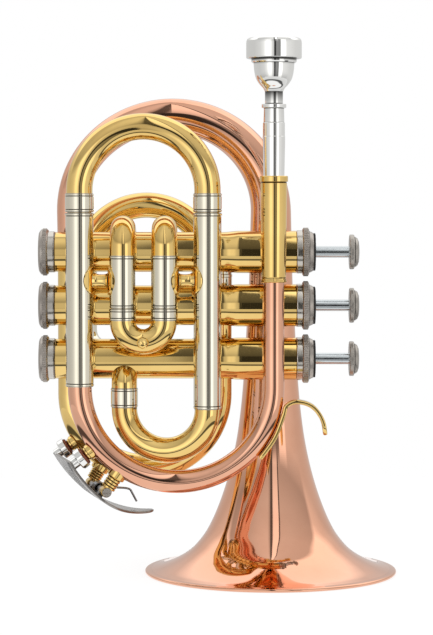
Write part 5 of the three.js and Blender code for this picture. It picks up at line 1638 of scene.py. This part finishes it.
@dataclass
class SecondSlide(Part):
    """The second valve's slide, which points backwards."""

    half_pitch: float = 12.0
    tube_start: float = -16.4
    tube_end: float = 5.6
    leg_end: float = -11.4
    turn_y: float = 10.0

    def build(self) -> None:
        """Build the tubes and the crook."""
        height, end = LAYOUT.valve_z[1], self.tube_end
        legs = tuple(spot(LAYOUT.slide_x + way * self.half_pitch, 0.0, height) for way in (-1, 1))
        profile = sleeve(self.tube_start, end, LAYOUT.small_bore, LAYOUT.first_tube_radius, (None, 0.3))
        for side, leg in zip(("left", "right"), legs):
            self.lathe(
                f"second_tube_{side}", leg, BACK, profile, NICKEL_SILVER, f"second_slide_tube_{side}",
                cuts=[(height, WALL_RADIUS)],
            )
        Crook(
            self.shop, "second_crook", "second_slide_crook", Body.SECOND_SLIDE, legs, self.leg_end, self.turn_y,
            self.half_pitch, (end + 0.2, self.turn_y - 0.3), 6.55, LAYOUT.small_leg, LAYOUT.small_crook_radius, BACK,
        ).build()


@dataclass
class ThirdSlide(Part):
    """The third valve's slide, upright behind the tail of the bell."""

    leg_half: float = 31.5
    port_half: float = 15.5
    tube_top: float = 143.0
    elbow_top: float = 120.7
    elbow_end: float = 121.6
    turn_z: float = 150.5

    def build(self) -> None:
        """Build the elbows, the tubes and the crook."""
        height, radius, y = LAYOUT.valve_z[2], LAYOUT.main_radius, LAYOUT.valve_y
        legs = tuple(spot(LAYOUT.slide_x + way * self.leg_half, LAYOUT.third_y, 0.0) for way in (-1, 1))
        for side, way, leg in zip(("left", "right"), (-1, 1), legs):
            port = spot(LAYOUT.slide_x + way * self.port_half, y, height)
            node, top = f"third_slide_tube_{side}", leg + UP * self.elbow_top
            route = Route(port + BACK * 7.0, port + BACK * 9.9)
            route.bend(port + BACK * 21.9, top - UP * 14, top, 48).to(leg + UP * self.elbow_end)
            rings = [(0.0, radius - 0.02), (route.length, radius - 0.02)]
            self.tube(f"third_elbow_{side}", route, rings, NICKEL_SILVER, node, cuts=[(height, WALL_RADIUS)])
            profile = sleeve(self.elbow_end - 0.6, self.tube_top, 6.1, radius, (None, 0.3))
            self.lathe(f"third_tube_{side}", leg, UP, profile, NICKEL_SILVER, node)
        Crook(
            self.shop, "third_crook", "third_slide_crook", Body.THIRD_SLIDE, legs, 122.0, self.turn_z, self.leg_half,
            (self.tube_top + 0.2, 149.3), 6.85,
        ).build()


@dataclass
class Brace(Part):
    """A turned rod between two upright tubes, with a round flange bent over each."""

    name: str
    node: str
    height: float
    ends: tuple[tuple[float, float, float], tuple[float, float, float]]
    rod_radius: float = 3.0
    flange_radius: float = 6.9
    thickness: float = 0.9

    def build(self) -> None:
        """Build the rod and its flanges."""
        (x0, y0, r0), (x1, y1, r1) = self.ends
        start, end = spot(x0, y0, self.height), spot(x1, y1, self.height)
        way = (end - start).normalized()
        near, far = r0 + 0.4, (end - start).length - r1 - 0.4
        rod, middle, neck = self.rod_radius, (near + far) / 2, (far - near) * 0.2
        profile = smooth([
            (near, rod * 1.35), (near + neck, rod * 1.08), (middle, rod), (far - neck, rod * 1.08), (far, rod * 1.35),
        ], 7)
        shape = Shape().turned(start, way, [(near, 0.0), *profile, (far, 0.0)], 48)
        self.flange(shape, start, way, r0)
        self.flange(shape, end, -way, r1)
        self.put(self.name, shape.mesh(self.name), LACQUERED_BRASS, self.node)

    def flange(self, shape: Shape, centre: Vector, way: Vector, radius: float) -> None:
        """Add a disc bent over a tube.

        Args:
            shape: what it is added to.
            centre: on the tube's axis.
            way: from the tube to the other one.
            radius: of the tube.
        """
        side, rim = UP.cross(way), self.flange_radius

        def place(reach: float, turn: float, size: float) -> Vector:
            """Place a point of the bent disc.

            Args:
                reach: from the disc's middle.
                turn: round the disc.
                size: from the tube's axis.

            Returns:
                The point.
            """
            across = reach * math.cos(turn) / radius
            bent = way * (size * math.cos(across)) + side * (size * math.sin(across))
            return centre + bent + UP * (reach * math.sin(turn))

        inner, outer = radius - 0.15, radius + self.thickness
        sections = [(rim * s / 6, inner) for s in range(1, 7)] + [(rim, outer - 0.25), (rim - 0.25, outer)]
        sections += [(rim * s / 6, outer) for s in range(5, 0, -1)]
        rings = [[place(reach, FULL_TURN * k / 56, size) for k in range(56)] for reach, size in sections]
        shape.rings([[place(0.0, 0.0, inner)], *rings, [place(0.0, 0.0, outer)]])


@dataclass(frozen=True)
class Bow:
    """A lower bow that the water key works on."""

    name: str
    centre: Vector
    half: float
    drop: float
    radius: float
    degrees: float

    @property
    def way(self) -> Vector:
        """Return the way out to the nipple."""
        return spot(-math.cos(math.radians(self.degrees)), 0.0, -math.sin(math.radians(self.degrees)))

    @property
    def point(self) -> Vector:
        """Return the point of the bow's middle line under the nipple."""
        return self.centre + spot(self.half * self.way.x, 0.0, self.drop * self.way.z)


@dataclass
class WaterKey(Part):
    """The double water key under the two lower bows."""

    pivot: tuple[float, float, float] = (-53.8, -45.5014, 45.2)
    skew_degrees: float = 14.0
    centre_across: float = 41.1
    centre_above: float = 47.3
    lever_radius: float = 66.6
    thickness: float = 1.2
    end_degrees: float = 75.5
    lift_degrees: float = 48.0
    taper_degrees: float = 50.0
    tip_degrees: float = 4.0
    tip_half: float = 4.5
    tip_lift: float = 6.2
    overhang: float = 4.0
    eye_half: float = 2.83
    nipple_degrees: tuple[float, float] = (37.2, 34.6)
    curls: int = 5
    curl_pitch: float = 1.2
    curl_radius: float = 2.55
    spring_start: float = 18.0
    wire: float = 0.55

    def __post_init__(self) -> None:
        """Work out the ways across and along the hinge, and the two bows."""
        turn = math.radians(self.skew_degrees)
        self.along, self.across = spot(-math.sin(turn), math.cos(turn), 0.0), spot(math.cos(turn), math.sin(turn), 0.0)
        self.hinge = Vector(self.pivot)
        self.centre = self.centre_across * self.across.x + (LAYOUT.front_y - self.hinge.y) * self.across.y
        front = spot(LAYOUT.bow_centre_x, LAYOUT.front_y, LAYOUT.leadpipe_bow_z)
        rear = spot(LAYOUT.tail_centre_x, LAYOUT.tail_y, LAYOUT.tail_bow_z)
        self.bows = (
            Bow(
                "front", front, LAYOUT.bow_half, LAYOUT.leadpipe_bow_drop, LAYOUT.leadpipe_end_radius,
                self.nipple_degrees[0],
            ),
            Bow(
                "rear", rear, LAYOUT.tail_radius, LAYOUT.tail_radius, LAYOUT.tail_tube_radius,
                self.nipple_degrees[1],
            ),
        )

    def place(self, across: float, along: float, up: float) -> Vector:
        """Return a place counted from the hinge."""
        return self.hinge + self.across * across + self.along * along + UP * up

    def hinge_at(self, y: float, across: float = 0.0) -> float:
        """Return the distance along the hinge to the plane at a depth."""
        return (y - self.hinge.y - across * self.across.y) / self.along.y

    def plate_meets(self, bow: Bow) -> tuple[float, float]:
        """Give where a line out from a bow meets the lever plate.

        Args:
            bow: the bow.

        Returns:
            The distance along the line, and the plate's angle there in degrees.
        """
        across = (bow.point - self.hinge).dot(self.across) - self.centre
        up = bow.point.z - self.hinge.z - self.centre_above
        sideways, down = bow.way.dot(self.across), bow.way.z
        a, b = sideways**2 + down**2, across * sideways + up * down
        distance = (-b + math.sqrt(b * b - a * (across**2 + up**2 - self.lever_radius**2))) / a
        return distance, math.degrees(math.atan2(-up - distance * down, -across - distance * sideways))

    def build(self) -> None:
        """Build the nipples, corks, posts, lever, screw and spring."""
        for bow in self.bows:
            self.nipple(bow)
        for bow in self.bows:
            self.post(bow)
        self.lever()
        self.screw()
        self.spring()

    def nipple(self, bow: Bow) -> None:
        """Build a nipple, its cork and the cup that holds the cork.

        Args:
            bow: what the nipple stands on.
        """
        radius, top = bow.radius, bow.radius + 2.6
        start, end = top + 0.3, self.plate_meets(bow)[0]
        nipple = past(radius, (-1.6, 1.3), (-1.6, 3.9), (0.9, 3.9), (1.1, 3.4))
        nipple += past(top, (-0.7, 3.3), (0, 2.6), (0, 1.3))
        cork = rounded(past(start, (0, 0.0), (0, 4.25), (2.6, 4.25), (2.6, 0.0)), 0.25)
        cup = rounded(past(
            start, (2.9, 0.0), (2.9, 4.55), (0.9, 4.55), (0.9, 5.1), (3.7, 5.1), (4.3, 4.5), (4.3, 2.6),
        ) + [(end, 2.6), (end, 0.0)], 0.22)
        name, key = bow.name, {"body": Body.WATER_KEY, "loop": False}
        for piece, profile, finish, node, more in (
            (f"water_nipple_{name}", wall(0.2, *nipple), LACQUERED_BRASS, f"nipple_{name}", {}),
            (f"water_cork_{name}", cork, CORK, f"cork_{name}", key),
            (f"cork_cup_{name}", cup, SILVER_PLATE, "water_key_lever", key),
        ):
            self.lathe(piece, bow.point, bow.way, profile, finish, node, 64, **more)

    def post(self, bow: Bow, ribs: int = 4) -> None:
        """Build a ribbed post with its eye.

        Args:
            bow: what the post stands on.
            ribs: how many it has.
        """
        radius, pivot = bow.radius, self.place(0.0, self.hinge_at(bow.centre.y), 0.0)
        way = (pivot - bow.centre).normalized()
        middle = bow.centre + way * bow.drop
        end = (pivot - middle).length
        stalk = past(radius, (-2.2, 0.0), (-2.2, 4.5), (1.1, 4.5), (1.5, 3.9))
        span = (end - 2.2 - radius - 1.6) / ribs
        for rib in range(ribs):
            stalk += past(radius + 1.6 + span * rib, (0, 3.0), (span * 0.2, 3.0), (span * 0.3, 3.5), (span * 0.9, 3.5))
        stalk += past(end, (-2.1, 3.0), (-1.9, 2.1), (0, 2.1), (0, 0.0))
        half = self.eye_half
        eye = wall(0.2, (-half, 1.3), (-half, 2.3), (-2.5, 2.6), (2.5, 2.6), (half, 2.3), (half, 1.3))
        shape = Shape().turned(middle, way, rounded(stalk, 0.16), 56).turned(pivot, self.along, eye, 56, loop=True)
        self.put(f"hinge_post_{bow.name}", shape.mesh("post"), LACQUERED_BRASS, f"key_post_{bow.name}")

    def edges(self, angle: float) -> tuple[float, float, float]:
        """Give the plate's radius and the depths of its edges.

        Args:
            angle: along the plate, in degrees.

        Returns:
            The radius, the depth of the front edge and the depth of the back edge.
        """
        lift, share, end = (
            min(1.0, max(0.0, (angle - start) / (self.end_degrees - start)))
            for start in (self.lift_degrees, self.taper_degrees, self.end_degrees - self.tip_degrees)
        )
        middle, half = (LAYOUT.front_y + LAYOUT.tail_y) / 2, (LAYOUT.tail_y - LAYOUT.front_y) / 2 + self.overhang
        half += (self.tip_half - half) * share * share * (3 - 2 * share)
        half *= math.sqrt(max(0.12, 1 - end * end * 0.88))
        return self.lever_radius - self.tip_lift * lift * lift, middle - half, middle + half

    def lever(self, steps: int = 48) -> None:
        """Build the lever plate, its barrel and its webs.

        Args:
            steps: faces along the plate.
        """
        start = self.plate_meets(self.bows[1])[1] - 0.8
        rings = []
        for step in range(steps + 1):
            angle = start + (self.end_degrees - start) * step / steps
            turn = math.radians(angle)
            radius, front, back = self.edges(angle)
            depths = [front + (back - front) * quarter / 4 for quarter in range(5)]
            ring = []
            for way, line in ((-1, depths), (1, depths[::-1])):
                size = radius + way * self.thickness / 2
                across, up = self.centre - size * math.cos(turn), self.centre_above - size * math.sin(turn)
                ring += [self.place(across, self.hinge_at(y, across), up) for y in line]
            rings.append(ring)
        plate = bevelled(Shape().rings(rings).mesh("plate"), 0.35)
        self.put("lever_plate", plate, BRUSHED_NICKEL, "water_key_lever", Body.WATER_KEY)
        low, high = self.hinge_at(LAYOUT.front_y) + 3.13, self.hinge_at(LAYOUT.tail_y) - 3.13
        barrel = wall(0.2, (low, 1.3), (low, 1.9), (high, 1.9), (high, 1.3))
        shape = Shape().turned(self.hinge, self.along, barrel, 48, loop=True)
        away = spot(self.centre, 0.0, self.centre_above).normalized() * self.lever_radius
        foot_x, foot_z = self.centre - away.x, self.centre_above - away.z
        shift, width = spot(away.z, 0.0, -away.x).normalized() * 1.2, 2 * self.eye_half
        for first in (low, high - width):
            corners = ((-1, first), (-1, first + width), (1, first + width), (1, first))
            shape.rings([
                [
                    self.place(foot_x * share + shift.x * way * wide, y, foot_z * share + shift.z * way * wide)
                    for way, y in corners
                ] for share, wide in ((0.36, 1.0), (0.7, 1.0), (1.0, 1.7))
            ])
        self.put("lever_barrel", shape.mesh("barrel"), BRUSHED_NICKEL, "water_key_lever", Body.WATER_KEY)

    def screw(self) -> None:
        """Build the slotted pivot screw."""
        end, head = self.hinge_at(LAYOUT.tail_y) + 2.33, 2.25
        profile = [
            (0.6, 0.0), (0.6, head), (1.2, head), (1.25, 1.0), (end - 0.2, 1.0), (end, 0.8), (end, 0.0),
        ]
        shape = Shape().turned(self.hinge, self.along, profile, 48)
        for way in (1, -1):
            turns = [math.radians(15.5 + 149 * step / 24) for step in range(25)]
            rim = [(math.cos(turn) * head, math.sin(turn) * head * way) for turn in turns]
            shape.rings([
                [self.place(x * size, along, z * size + rise * way) for x, z in rim]
                for along, size, rise in ((0.7, 1.0, 0.0), (0.25, 1.0, 0.0), (0.0, 0.9, 0.05))
            ])
        self.put("hinge_screw", shape.mesh("screw"), BUTTON_STEEL, "pivot_screw")

    def spring(self) -> None:
        """Build the spring wound on the barrel, with its arm out over the bow."""
        radius, end_along = self.curl_radius, self.spring_start + self.curls * self.curl_pitch
        points = [
            self.place(radius * math.cos(turn), self.spring_start + self.curl_pitch * turn / FULL_TURN,
                       radius * math.sin(turn))
            for turn in (FULL_TURN * step / 24 for step in range(self.curls * 24 + 1))
        ]
        knee, end = self.place(16.6, end_along + 3, -1.6), self.place(20.2, end_along + 4, -8.2)
        last, bend_in, bend_out = points[-1], knee.lerp(points[-1], 0.25), knee.lerp(end, 0.16)
        route = Route(*points, last.lerp(knee, 0.4), bend_in)
        route.bend(bend_in.lerp(knee, 2 / 3), bend_out.lerp(knee, 2 / 3), bend_out, 8).to(end)
        rings = [(0.0, self.wire), (route.length, self.wire)]
        self.tube(
            "key_return_spring", route, rings, SPRING_STEEL, "water_key_spring", 14, body=Body.WATER_KEY,
        )


def main() -> None:
    """Build the studio and every sub-assembly."""
    logging.basicConfig(level=logging.INFO, format="%(name)s: %(message)s")
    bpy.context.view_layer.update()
    Studio().build()
    shop = Workshop()
    main_ends = [(x, LAYOUT.front_y, LAYOUT.main_radius) for x in (LAYOUT.left_x, LAYOUT.right_x)]
    first_ends = [
        (LAYOUT.slide_x + way * LAYOUT.first_half_pitch, LAYOUT.first_y, LAYOUT.first_tube_radius) for way in (-1, 1)
    ]
    bell_ends = ((LAYOUT.leadpipe_x, LAYOUT.front_y, 6.3), (LAYOUT.bell_x, 0.0, LAYOUT.bell_stem_radius))
    parts = [
        Bell(shop), BellTail(shop), Leadpipe(shop), Mouthpiece(shop), MainSlide(shop), Feed(shop),
        Valve(shop, 1), Valve(shop, 2), Valve(shop, 3), Knuckles(shop), FirstSlide(shop), SecondSlide(shop),
        ThirdSlide(shop), Brace(shop, "left_brace", "brace_left", 146.0, (main_ends[0], first_ends[0])),
        Brace(shop, "right_brace", "brace_right", 146.0, (main_ends[1], first_ends[1])),
        Brace(shop, "bell_stay", "bell_brace", 176.0, bell_ends, flange_radius=4.0), WaterKey(shop),
    ]
    for part in parts:
        part.build()
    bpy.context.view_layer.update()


if __name__ == "__main__":
    main()
